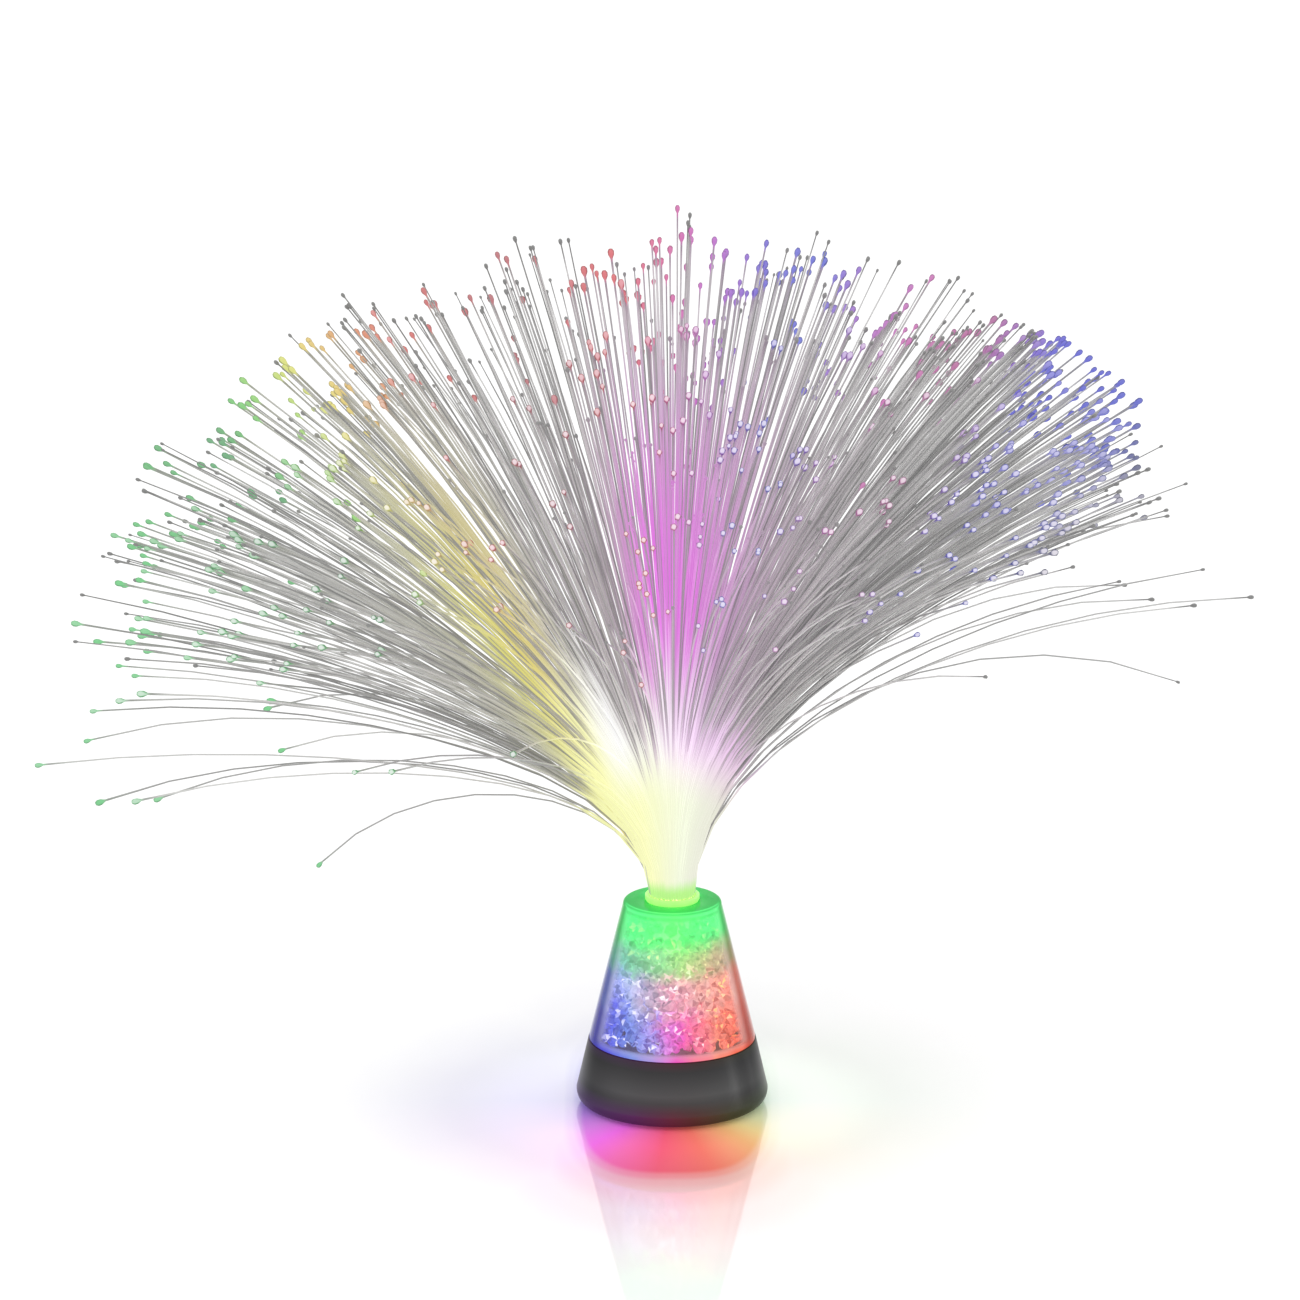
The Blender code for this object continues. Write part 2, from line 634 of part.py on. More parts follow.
def make_contacts():
    """Contact plates: two links, and two terminals with tails, left at the front and right at the back."""
    bottom = cell_height - CONTACT_HEIGHT / 2
    top = cell_height + CONTACT_HEIGHT / 2
    half = CONTACT_WIDTH / 2
    links = [("link_contact_back", 1, -CELL_PITCH, 0), ("link_contact_front", -1, 0, CELL_PITCH)]
    for name, end, first, last in links:
        near, far = contact_span(end)
        make_piece(name, box((first - half, near, bottom), (last + half, far, top)), NICKEL)
    for name, side in [("negative_terminal", -1), ("positive_terminal", 1)]:
        near, far = contact_span(side)
        x = side * CELL_PITCH
        tail, tail_top = TAIL_WIDTH / 2, ceiling_top + TAIL_RISE
        outline = [(x - half, bottom), (x + half, bottom), (x + half, top), (x + tail, top),
                   (x + tail, tail_top), (x - tail, tail_top), (x - tail, top), (x - half, top)]
        make_piece(name, stood_up(outline, near, far), NICKEL)


def make_springs():
    """Cone-shaped coil springs that press each cell against its far contact."""
    for number, (x, spring_end) in enumerate(cell_places(), 1):
        foot = well_half_y - CONTACT_THICKNESS - 2 * FIT - SPRING_WIRE_RADIUS
        reach = SPRING_LENGTH - 2 * SPRING_WIRE_RADIUS
        count = SPRING_TURNS * SPRING_TURN_POINTS
        points = []
        for step in range(count + 1):
            share = step / count
            radius = SPRING_FOOT_RADIUS + (SPRING_TIP_RADIUS - SPRING_FOOT_RADIUS) * share
            turn = math.tau * SPRING_TURNS * share
            points.append((x + radius * math.cos(turn), spring_end * (foot - reach * share),
                           cell_height + radius * math.sin(turn)))
        make_tube(f"battery_spring_{number}", points, SPRING_WIRE_RADIUS, 1, STEEL)


def hinge_edge_x(height):
    """The door's slanted edge, set back so that it clears the plate all the way open."""
    return hinge_x + (hinge_z - height) * math.tan(DOOR_SWING) + FIT


def tab_top():
    """Top face of the door's tabs."""
    return rebate_top + FIT + TAB_THICKNESS


def make_door():
    """Battery door that hooks under the plate on two tabs and is held by one captive screw."""
    hinge = make_carrier("battery_door_hinge", (hinge_x, 0, hinge_z))
    door_top = plate_bottom + DOOR_THICKNESS
    panel = prism(door_outline(door_half_x, door_half_y), plate_bottom, door_top)
    door = make_piece("battery_door", panel, DARK_PLASTIC, hinge)

    low, high = plate_bottom - OVERRUN, door_top + OVERRUN
    outline = [(hinge_x - OVERRUN, low), (hinge_edge_x(low), low),
               (hinge_edge_x(high), high), (hinge_x - OVERRUN, high)]
    slant = stood_up(outline, -door_half_y - OVERRUN, door_half_y + OVERRUN)
    combine(door, make_tool("cut_door_hinge_edge", slant), "DIFFERENCE")

    tabs = []
    tab_bottom = rebate_top + FIT
    root = door_top - DOOR_THICKNESS / 2
    riser = hinge_edge_x(door_top) + FIT
    profile = [(hinge_x - TAB_REACH, tab_bottom), (riser, tab_bottom), (riser, root),
               (riser + RISER_THICKNESS, root), (riser + RISER_THICKNESS, tab_top()),
               (hinge_x - TAB_REACH, tab_top())]
    for side in (-1, 1):
        tabs.append(stood_up(profile, side * TAB_SPREAD - TAB_WIDTH / 2, side * TAB_SPREAD + TAB_WIDTH / 2))
    tabs.append(cylinder(EAR_RADIUS, plate_bottom, plate_top, (ear_x, 0)))
    combine(door, make_tool("join_door_tabs_and_ear", gather(*tabs)), "UNION")
    seat_top = plate_bottom + head_hole_depth
    head_seat = cylinder(head_hole_radius, plate_bottom - OVERRUN, seat_top, (ear_x, 0))
    combine(door, make_tool("cut_door_screw_head", head_seat), "DIFFERENCE")
    ear_top = plate_top + OVERRUN
    shank_hole = cylinder(screw_hole_radius, plate_bottom, ear_top, (ear_x, 0), SMALL_SIDES // 2)
    combine(door, make_tool("cut_door_screw_hole", shank_hole), "DIFFERENCE")
    head_top = plate_bottom + HEAD_SINK + SCREW_HEAD_HEIGHT
    length = plate_top + FIT + DOOR_SCREW_GRIP - head_top
    screw("door_screw", (ear_x, 0), plate_bottom + HEAD_SINK, length, STEEL, hinge)


def knob_slot():
    """The plate's slot for the knob: half width, back end and front end."""
    back = KNOB_LENGTH / 2 + FIT
    return KNOB_WIDTH / 2 + FIT, back, -back - KNOB_TRAVEL


def make_switch():
    """Slide switch on the plate, its knob reached from below."""
    middle, half_x, half_y = -KNOB_TRAVEL / 2, SWITCH_WIDTH / 2, SWITCH_LENGTH / 2
    shell = box((switch_x - half_x, middle - half_y, switch_bottom),
                (switch_x + half_x, middle + half_y, switch_bottom + SWITCH_HEIGHT))
    body = make_piece("switch_body", shell, STEEL)
    slot_x, slot_back, slot_front = knob_slot()
    pocket_top = switch_bottom + SWITCH_HEIGHT - SWITCH_FLOOR
    pocket = box((switch_x - slot_x, slot_front, switch_bottom - OVERRUN),
                 (switch_x + slot_x, slot_back, pocket_top))
    combine(body, make_tool("cut_switch_pocket", pocket), "DIFFERENCE")
    slide = make_carrier("switch_knob_slide", (switch_x, 0, plate_bottom))
    knob = box((switch_x - KNOB_WIDTH / 2, -KNOB_LENGTH / 2, plate_bottom + KNOB_RECESS),
               (switch_x + KNOB_WIDTH / 2, KNOB_LENGTH / 2, pocket_top - FIT))
    make_piece("switch_knob", knob, WHITE_PLASTIC, slide)


def make_circuit_board():
    """Round board hung from the deck, its screws and the parts on it."""
    board = make_piece("circuit_board", cylinder(BOARD_RADIUS, board_bottom, board_top, sides=ROUND_SIDES),
                       BOARD_GREEN)
    places = [on_circle(BOARD_SCREW_CIRCLE, turn) for turn in BOARD_SCREW_ANGLES]
    low, high = board_bottom - OVERRUN, board_top + OVERRUN
    holes = [cylinder(screw_hole_radius, low, high, place, SMALL_SIDES // 2) for place in places]
    combine(board, make_tool("cut_board_holes", gather(*holes)), "DIFFERENCE")
    for number, place in enumerate(places, 1):
        screw(f"board_screw_{number}", place, board_bottom - FIT - SCREW_HEAD_HEIGHT, BOARD_SCREW_LENGTH)
    chip_x, chip_y = CHIP_PLACE
    half_x, half_y, chip_height = CHIP_SIZE[0] / 2, CHIP_SIZE[1] / 2, CHIP_SIZE[2]
    chip_top = board_bottom - FIT
    chip = box((chip_x - half_x, chip_y - half_y, chip_top - chip_height),
               (chip_x + half_x, chip_y + half_y, chip_top))
    make_piece("controller_chip", chip, DARK_PLASTIC)
    for number, side in enumerate((-1, 1), 1):
        body = cylinder(RESISTOR_RADIUS, -RESISTOR_LENGTH / 2, RESISTOR_LENGTH / 2, sides=SMALL_SIDES // 2)
        place = Matrix.Translation((side * RESISTOR_OFFSET, 0, board_top + FIT + RESISTOR_RADIUS))
        lying = Matrix.Rotation(math.radians(90), 4, "X")
        bmesh.ops.transform(body, matrix=place @ lying, verts=body.verts)
        make_piece(f"resistor_{number}", body, RESISTOR_BODY)
    foot = board_top + FIT
    can = cylinder(CAPACITOR_RADIUS, foot, foot + CAPACITOR_HEIGHT, (0, CAPACITOR_OFFSET))
    make_piece("capacitor", can, SLEEVED_METAL)


def led(name, place, radius, height):
    """A domed light-emitting diode with the flange at its foot."""
    foot = board_top + FIT
    profile = [(0, foot), (radius + LED_FLANGE, foot), (radius + LED_FLANGE, foot + LED_FLANGE_HEIGHT),
               (radius, foot + LED_FLANGE_HEIGHT), (radius, foot + height - radius)]
    profile += arc((0, foot + height - radius), (radius, radius), 0, math.radians(90), DOME_STEPS)
    profile[-1] = (0, foot + height)
    shape = lathe(profile, SMALL_SIDES * 5 // 8, closed=False)
    bmesh.ops.translate(shape, vec=(*place, 0), verts=shape.verts)
    make_piece(name, shape, LED_EPOXY)


def make_leds():
    """One lamp under the fibre bundle and three under the crystals."""
    led("fibre_led", (0, 0), FIBRE_LED_RADIUS, FIBRE_LED_HEIGHT)
    for number, turn in enumerate(CRYSTAL_LED_ANGLES, 1):
        place = on_circle(CRYSTAL_LED_CIRCLE, turn)
        led(f"crystal_led_{number}", place, CRYSTAL_LED_RADIUS, CRYSTAL_LED_HEIGHT)


def lead_route(start, over, pad):
    """A wire's stops: up from its start, over the board's edge and down to its pad."""
    crest = board_top + WIRE_RISE
    return [start, (over[0], over[1], crest - WIRE_RADIUS), (pad[0], pad[1], crest),
            (pad[0], pad[1], board_top + FIT)]


def make_wires():
    """Leads from the battery terminals and the switch to the board."""
    leads = [("battery_lead_negative", -1, BLACK_WIRE), ("battery_lead_positive", 1, RED_WIRE)]
    for name, side, finish in leads:
        near, far = contact_span(side)
        start = (side * CELL_PITCH, (near + far) / 2, ceiling_top + TAIL_RISE + FIT)
        pad_turn = math.atan2(start[1], start[0])
        pad = on_circle(BOARD_RADIUS - WIRE_REACH / 2, pad_turn)
        over = on_circle(BOARD_RADIUS + WIRE_REACH / 2, pad_turn)
        route = lead_route(start, over, pad)
        make_tube(name, smooth_route(route, WIRE_POINTS_PER_LEG), WIRE_RADIUS, 2, finish)
    for number, side in enumerate((-1, 1), 1):
        y = -KNOB_TRAVEL / 2 + side * SWITCH_LENGTH / 4
        start = (switch_x, y, switch_bottom + SWITCH_HEIGHT + FIT)
        rise = (switch_x, y, board_bottom)
        over = (-BOARD_RADIUS - WIRE_REACH / 2, y)
        pad = (-BOARD_RADIUS + WIRE_REACH / 2, y)
        route = [start, rise] + lead_route(start, over, pad)[1:]
        route = smooth_route(route, WIRE_POINTS_PER_LEG)
        make_tube(f"switch_lead_{number}", route, WIRE_RADIUS, 2, RED_WIRE)


def make_cone():
    """Clear acrylic cone with its closed top and the clear tube that stands inside it."""
    slope = (cone_bottom_radius - CONE_TOP_RADIUS) / CONE_HEIGHT
    shoulder_radius = CONE_TOP_RADIUS + slope * CONE_TOP_EDGE
    profile = [(cone_inner_bottom, cone_bottom), (cone_bottom_radius, cone_bottom),
               (shoulder_radius, cone_top - CONE_TOP_EDGE)]
    edge_centre = (shoulder_radius - CONE_TOP_EDGE, cone_top - CONE_TOP_EDGE)
    profile += arc(edge_centre, (CONE_TOP_EDGE, CONE_TOP_EDGE), 0, math.radians(90), CONE_EDGE_STEPS)
    profile += [(socket_radius, cone_top), (socket_radius, cone_top - CONE_TOP_THICKNESS),
                (cone_inner_top, cone_top - CONE_TOP_THICKNESS)]
    make_piece("clear_cone", lathe(profile, ROUND_SIDES), CLEAR_ACRYLIC)

    foot, head = deck_top + FIT, cone_top - CONE_TOP_THICKNESS - FIT
    tube = [(socket_radius, foot), (tube_radius, foot), (tube_radius, head), (socket_radius, head)]
    make_piece("light_tube", lathe(tube, ROUND_SIDES // 2), CLEAR_ACRYLIC)


def make_crystals():
    """Faceted clear crystals poured round the light tube, each layer fused where its crystals touch."""
    chance = random.Random(CRYSTAL_SEED)
    inner = tube_radius + FIT
    spigot_inner = cone_inside(deck_top + SPIGOT_HEIGHT) - FIT - SPIGOT_WALL
    for layer in range(CRYSTAL_LAYERS):
        height = deck_top + FIT + CRYSTAL_HALF_HEIGHT + layer * (2 * CRYSTAL_HALF_HEIGHT + FIT)
        outer = cone_inside(height + CRYSTAL_NARROWING_SHARE * CRYSTAL_HALF_HEIGHT) - FIT
        outer = min(outer, spigot_inner - FIT)
        middle, half = (inner + outer) / 2, (outer - inner) / 2
        spacing = math.tau * middle / CRYSTALS_PER_LAYER
        halves = [[], []]
        for number in range(CRYSTALS_PER_LAYER):
            crystal = bmesh.new()
            bmesh.ops.create_icosphere(crystal, subdivisions=1, radius=1.0)
            bmesh.ops.rotate(crystal, matrix=Matrix.Rotation(chance.uniform(0, math.tau), 3, "Z"),
                             verts=crystal.verts)
            across = half * chance.uniform(*CRYSTAL_SIZE_SHARES)
            along = spacing * CRYSTAL_OVERLAP_SHARE
            bmesh.ops.scale(crystal, vec=(across, along, CRYSTAL_HALF_HEIGHT), verts=crystal.verts)
            turn = math.tau * number / CRYSTALS_PER_LAYER
            place = Matrix.Rotation(turn, 4, "Z") @ Matrix.Translation((middle, 0, height))
            bmesh.ops.transform(crystal, matrix=place, verts=crystal.verts)
            halves[number % 2].append(crystal)
        bed = make_piece(f"crystal_layer_{layer + 1}", gather(*halves[0]), CRYSTAL)
        combine(bed, make_tool(f"join_crystals_{layer + 1}", gather(*halves[1])), "UNION")


def make_ferrule(carrier):
    """Sleeve that holds the bundle, its collar resting on the cone."""
    profile = [(ferrule_bore, sleeve_bottom), (sleeve_radius, sleeve_bottom),
               (sleeve_radius, collar_bottom), (collar_radius, collar_bottom),
               (collar_radius, collar_top - COLLAR_EDGE),
               (collar_radius - COLLAR_EDGE, collar_top), (ferrule_bore, collar_top)]
    make_piece("spray_ferrule", lathe(profile, ROUND_SIDES), FROSTED_COLLAR, carrier)


def edge_lean(turn):
    """How far the outermost fibre leans, more to the sides than to the front and back."""
    side_lean = RIGHT_LEAN if math.cos(turn) > 0 else LEFT_LEAN
    return 1 / math.hypot(math.cos(turn) / side_lean, math.sin(turn) / FRONT_LEAN)


def between_sides(turn, left, right):
    """A value that goes over from the left side's to the right side's round the bundle."""
    return (left + right) / 2 + (right - left) / 2 * math.cos(turn)


def fibre_stations(root, turn, lean, droop, length, bend_length):
    """Places and directions along one fibre: it bends away from the axis and droops with its weight."""
    outward = Vector((math.cos(turn), math.sin(turn), 0))
    place, step = root.copy(), length / PATH_STEPS
    stations = []
    passed = 0
    for share in STATION_SHARES:
        while passed < round(share * PATH_STEPS):
            distance = (passed + 0.5) * step
            angle = lean * (1 - math.exp(-distance / bend_length)) + droop * (distance / length) ** 2
            heading = outward * math.sin(angle) + Vector((0, 0, math.cos(angle)))
            place = place + heading * step
            passed += 1
        stations.append((place.copy(), heading.copy()))
    return stations


def slice_lattice(shape, slice_turn):
    """Triangles over the potted end of one slice of the bundle, one for each fibre."""
    half_turn = math.pi / SLICES
    shift = FIT / 2 / math.sin(half_turn)
    offset = Vector((shift * math.cos(slice_turn), shift * math.sin(slice_turn), potting_top))
    rows = []
    for row in range(SLICE_ROWS + 1):
        radius = (BUNDLE_RADIUS - shift) * row / SLICE_ROWS
        turns = [slice_turn - half_turn + 2 * half_turn * step / max(row, 1) for step in range(row + 1)]
        rows.append([shape.verts.new(offset + Vector((*on_circle(radius, turn), 0))) for turn in turns])
    cells = []
    for row in range(SLICE_ROWS):
        upper, lower = rows[row], rows[row + 1]
        for step in range(row + 1):
            cells.append((row, shape.faces.new((upper[step], lower[step], lower[step + 1]))))
        for step in range(row):
            cells.append((row, shape.faces.new((upper[step], lower[step + 1], upper[step + 1]))))
    return cells


def make_slice(number, carrier, chance):
    """One slice of the potted bundle with its fibres, each drawn out of its own triangle."""
    slice_turn = math.tau * number / SLICES
    shape = bmesh.new()
    cells = slice_lattice(shape, slice_turn)
    top = [face for _, face in cells]
    pulled = bmesh.ops.extrude_face_region(shape, geom=top, use_keep_orig=True)["geom"]
    moved = [item for item in pulled if isinstance(item, bmesh.types.BMVert)]
    bmesh.ops.translate(shape, vec=(0, 0, sleeve_bottom - potting_top), verts=moved)
    bottom = [item for item in pulled if isinstance(item, bmesh.types.BMFace)]
    bmesh.ops.dissolve_faces(shape, faces=bottom)

    for row, face in cells:
        root = face.calc_center_median()
        around = math.atan2(root.y, root.x)
        reach = math.hypot(root.x, root.y) / BUNDLE_RADIUS
        corners = [math.atan2(corner.co.y - root.y, corner.co.x - root.x) for corner in face.verts]
        turn = around + chance.uniform(-1, 1) * TURN_SPREAD_SHARE * math.tau / SLICES / (2 * row + 1)
        power = between_sides(around, LEFT_LEAN_POWER, RIGHT_LEAN_POWER)
        lean = edge_lean(around) * reach ** power * (1 + chance.uniform(-1, 1) * LEAN_SPREAD_SHARE)
        stray = row == SLICE_ROWS - 1 and chance.random() < STRAY_SHARE
        lean *= 1 + STRAY_LEAN_SHARE * stray * chance.random()
        droop = DROOP * math.sin(lean) * (1 + chance.uniform(-1, 1) * DROOP_SPREAD_SHARE)
        length = FIBRE_LENGTH * (1 - chance.random() * LENGTH_SPREAD_SHARE)
        bend_length = between_sides(around, LEFT_BEND_LENGTH, RIGHT_BEND_LENGTH)
        for place, heading in fibre_stations(root, turn, lean, droop, length, bend_length):
            face = bmesh.ops.extrude_discrete_faces(shape, faces=[face])["faces"][0]
            tilt = Vector((0, 0, 1)).rotation_difference(heading)
            for corner, angle in zip(face.verts, corners):
                corner.co = place + tilt @ Vector((*on_circle(FIBRE_RADIUS, angle), 0))
    make_piece(f"fibre_slice_{number + 1}", shape, FIBRE, carrier)


def make_spray():
    """The lift-out spray: ferrule and bundle slices."""
    lift = make_carrier("spray_lift", (0, 0, collar_bottom))
    make_ferrule(lift)
    chance = random.Random(SPRAY_SEED)
    for number in range(SLICES):
        make_slice(number, lift, chance)


def main():
    clear_scene()
    make_housing()
    make_base_plate()
    make_feet()
    make_plate_screws()
    make_cells()
    make_contacts()
    make_springs()
    make_door()
    make_switch()
    make_circuit_board()
    make_leds()
    make_wires()
    make_cone()
    make_crystals()
    make_spray()


main()
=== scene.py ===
"""Looks of a fibre optic lamp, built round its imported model: metres, +Z up, the front towards -Y."""

import math
import random
from functools import partial

import bmesh
import bpy
import numpy as np
from bpy.props import FloatProperty, FloatVectorProperty, IntProperty, PointerProperty
from mathutils import Matrix, Vector


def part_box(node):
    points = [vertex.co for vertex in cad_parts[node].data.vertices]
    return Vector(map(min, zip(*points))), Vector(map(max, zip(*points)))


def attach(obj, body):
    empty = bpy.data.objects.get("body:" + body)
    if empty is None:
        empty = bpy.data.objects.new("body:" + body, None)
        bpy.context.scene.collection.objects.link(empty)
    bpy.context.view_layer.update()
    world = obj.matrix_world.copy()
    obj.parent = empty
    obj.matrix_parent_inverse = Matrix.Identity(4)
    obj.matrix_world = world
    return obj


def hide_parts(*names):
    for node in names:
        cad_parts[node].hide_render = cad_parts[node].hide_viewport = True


bl_info = {
    "name": "Fibre Optic Lamp", "version": (1, 0, 0), "blender": (4, 5, 0),
    "location": "3D View > Sidebar > Lamp",
    "description": "Dresses a fibre optic lamp with a crystal-filled cone and a wide spray of light fibres",
    "category": "Add Mesh"}

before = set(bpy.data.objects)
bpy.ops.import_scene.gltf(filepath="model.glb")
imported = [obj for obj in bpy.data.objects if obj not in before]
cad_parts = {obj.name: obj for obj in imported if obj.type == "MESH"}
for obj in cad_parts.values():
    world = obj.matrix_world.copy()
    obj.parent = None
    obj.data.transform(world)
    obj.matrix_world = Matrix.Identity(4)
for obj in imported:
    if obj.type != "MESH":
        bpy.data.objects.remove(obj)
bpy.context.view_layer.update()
house_low, house_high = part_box("base_housing")
cone_low, cone_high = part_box("clear_cone")
tube_low, tube_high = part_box("light_tube")
ferrule_low, ferrule_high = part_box("spray_ferrule")
slice_low, slice_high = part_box("fibre_slice_1")

MM = 0.001
SLICES = 9
SMOOTH_ANGLE = math.radians(30)


def linear(hex_colour):
    """Linear red, green and blue of an sRGB hex colour."""
    channels = [int(hex_colour[start:start + 2], 16) / 255 for start in (1, 3, 5)]
    return tuple(c / 12.92 if c <= 0.04045 else ((c + 0.055) / 1.055) ** 2.4 for c in channels)


def length_setting(name, description, default, least):
    """A length in metres."""
    return FloatProperty(name=name, description=description, default=default, min=least, unit="LENGTH")


def angle_setting(name, description, degrees):
    """An angle, which is given in degrees."""
    return FloatProperty(name=name, description=description, default=math.radians(degrees), unit="ROTATION")


def colour_setting(name, description, hex_colour):
    """A colour, which is given as sRGB hex."""
    return FloatVectorProperty(name=name, description=description, subtype="COLOR", size=3,
                               default=linear(hex_colour), min=0.0, max=1.0)


class LampSizes(bpy.types.PropertyGroup):
    """Sizes that change how the dressed lamp is made"""

    housing_wall: length_setting("Housing wall", "Thickness of the black housing's wall", 0.0018, 0.0008)
    edge_round: length_setting("Edge rounding", "Radius on the edges of the moulded pieces", 0.00025, 0.0)
    cone_wall: length_setting("Cone wall", "Thickness of the clear cone's wall", 0.0009, 0.0008)
    crystal_size: length_setting("Crystal size", "Mean half width of one loose crystal", 0.0028, 0.001)
    crystal_count: IntProperty(
        name="Crystals", description="How many crystals are tried in the cone", default=1100, min=10)
    tuft_size: IntProperty(
        name="Tuft size", description="How many more fibres run beside a fibre of the solids in a full tuft",
        default=6, min=0)
    fibre_radius: length_setting("Fibre radius", "Half the thickness of one fibre", 0.00031, 0.0001)
    tip_radius: length_setting("Tip radius", "Half the width of a fibre's fused ball end", 0.00115, 0.0001)
    fibre_length: length_setting(
        "Fibre length", "Length of the longest fibre above the potting", 0.2500, 0.02)
    left_bend_length: length_setting(
        "Left bend length", "Distance over which a fibre on the left turns to its lean", 0.0320, 0.005)
    right_bend_length: length_setting(
        "Right bend length", "Distance over which a fibre on the right turns to its lean", 0.0500, 0.005)
    left_lean: angle_setting("Left lean", "Lean of the outermost fibres on the left", 67)
    right_lean: angle_setting("Right lean", "Lean of the outermost fibres on the right", 50)
    front_lean: angle_setting("Front lean", "Lean of the outermost fibres at the front and back", 51)
    droop: angle_setting("Droop", "How far a fibre that leans right over hangs down at its tip", 22)


class LampColours(bpy.types.PropertyGroup):
    """Colours of the lamp's plastics and of its light"""

    housing: colour_setting("Housing", "Moulded plastic of the base", "#1E1E20")
    underside: colour_setting("Underside", "Plastic of the base plate and the battery door", "#2A2A2C")
    fibre: colour_setting("Fibre", "Unlit light fibre", "#A2A2A0")
    collar: colour_setting("Collar", "Light in the collar round the bundle", "#B2EC88")


# Settings that many nodes share: a step with soft ends, and a mix of colours
SMOOTH = {"interpolation_type": "SMOOTHSTEP"}
COLOUR = {"data_type": "RGBA"}


def feed(socket, value):
    """Link a node by its first open output, or a socket, to a socket, or set a value or colour on it."""
    if isinstance(value, bpy.types.Node):
        value = next(output for output in value.outputs if output.enabled)
    if isinstance(value, bpy.types.NodeSocket):
        socket.id_data.links.new(value, socket)
    elif socket.type == "RGBA":
        socket.default_value = (*(linear(value) if isinstance(value, str) else value), 1.0)
    else:
        socket.default_value = value


def fill(node, **sockets):
    """Feed a node's sockets, whose names are written with underscores."""
    for name, value in sockets.items():
        feed(node.inputs[name.replace("_", " ")], value)


def add_node(tree, kind, *values, stops=None, **named):
    """Add a node. Values go to its open sockets from the top, names with a capital to the sockets of that
    name, and other names are settings. A ramp gets its stops of place, colour and, where given, amount."""
    node = tree.nodes.new("ShaderNode" + kind)
    for name in [name for name in named if name.islower()]:
        setattr(node, name, named.pop(name))
    for socket, value in zip([socket for socket in node.inputs if socket.enabled], values):
        feed(socket, value)
    fill(node, **named)
    if stops:
        ramp = node.color_ramp
        while len(ramp.elements) < len(stops):
            ramp.elements.new(0.5)
        for element, (position, colour, *amount) in zip(ramp.elements, stops):
            element.position = position
            element.color = (*linear(colour), *(amount or [1.0]))
    return node


def amounts(*stops):
    """Stops of a ramp that only carries an amount, in its alpha."""
    return [(position, "#FFFFFF", amount) for position, amount in stops]


def start_material(name):
    """A node material, add_node for its tree, and its Principled shader."""
    material = bpy.data.materials.new(name)
    material.use_nodes = True
    tree = material.node_tree
    return material, partial(add_node, tree), tree.nodes["Principled BSDF"]


def surface_drift(add, shader, dark, light, roughness, patch_mm, grain_mm, grain_depth_mm):
    """Slow drift of colour and gloss over a surface, with its fine grain as bump."""
    place = add("TexCoord").outputs["Object"]
    drift = add("TexNoise", place, 1 / (patch_mm * MM), 4.0)
    tone = add("Mix", drift, dark, light, **COLOUR)
    gloss = add("MapRange", drift, 0.0, 1.0, *roughness)
    grain = add("TexNoise", place, 1 / (grain_mm * MM), 2.0)
    bump = add("Bump", Height=grain, Strength=1.0, Distance=grain_depth_mm * MM)
    fill(shader, Base_Color=tone, Roughness=gloss, Normal=bump)
    return place


def shade(colour, share):
    """A colour made darker or lighter."""
    return tuple(min(channel * share, 1.0) for channel in colour)


def satin_black_abs(colour):
    """Injection-moulded ABS, satin and black. Painted shade: its sheen is turned down towards the silhouette,
    the foot and the top edge. Painted reflection: the floor's colours glow as emission in the rolled-under
    rim and along the top edge, and the spigot above the deck glows with painted light from the diodes."""
    material, add, shader = start_material("satin_black_abs")
    place = surface_drift(
        add, shader, shade(colour, 0.8), shade(colour, 1.2), (0.26, 0.32), 14.0, 0.45, 0.003)
    axes = add("SeparateXYZ", place).outputs
    # Painted shade: the sheen's strength is turned down towards the silhouette and, by height, towards the
    # foot and the top edge, which darkens them
    facing = add("LayerWeight", 0.5).outputs["Facing"]
    sheen = add("MapRange", facing, 0.10, 0.55, 1.0, 0.22, **SMOOTH)
    share = add("MapRange", axes["Z"], house_low.z, DECK_TOP)
    wall = add(
        "ValToRGB", share, stops=[(0.0, "#404040"), (0.25, "#A0A0A0"), (0.5, "#F0F0F0"), (0.75, "#C0C0C0"),
        (1.0, "#808080")])
    gloss = add("Math", sheen, wall, operation="MULTIPLY")
    across = add("MapRange", axes["X"], house_low.x, house_high.x)
    # Painted reflection: the floor's colours, by place across the housing, glow in the rolled-under rim and
    # along the top edge
    painted_floor_reflection = add(
        "ValToRGB", across, stops=[(0.0, "#3A2450"), (0.3, "#481848"), (0.5, "#56182C"), (0.62, "#481E1C"),
        (0.8, "#34301A"), (1.0, "#283420")])
    rim = add(
        "ValToRGB", share, stops=amounts((0.18, 0.95), (0.29, 0.45), (0.39, 0.0), (0.86, 0.0), (1.0, 0.45)))
    zones = add("Group", node_tree=light_zones()).outputs
    # Painted light: the spigot above the deck glows with the diodes' colours
    painted_spigot_light = add("MapRange", axes["Z"], DECK_TOP + 0.1 * MM, DECK_TOP + 0.5 * MM, 0.0, 0.8)
    glow = add("Mix", painted_spigot_light, painted_floor_reflection, zones["Light"], **COLOUR)
    power = add("Math", rim.outputs["Alpha"], painted_spigot_light, operation="MAXIMUM")
    fill(shader, IOR=1.53, Specular_IOR_Level=gloss, Emission_Color=glow, Emission_Strength=power)
    return material


def spark_textured_abs(colour):
    """ABS from a spark-eroded mould: a matt, evenly pitted underside."""
    material, add, shader = start_material("spark_textured_abs")
    place = surface_drift(add, shader, shade(colour, 0.85), shade(colour, 1.2), (0.52, 0.64), 10.0, 0.5, 0.02)
    pits = add("TexVoronoi", place, 1 / (0.7 * MM))
    bump = add("Bump", Height=pits, Strength=0.5, Distance=0.03 * MM)
    fill(shader, IOR=1.53, Normal=bump)
    return material


def foot_rubber():
    """Die-cut synthetic rubber: very matt, with a fine open cell grain."""
    material, add, shader = start_material("foot_rubber")
    surface_drift(add, shader, "#191919", "#232322", (0.82, 0.92), 3.0, 0.3, 0.03)
    fill(shader, IOR=1.52)
    return material


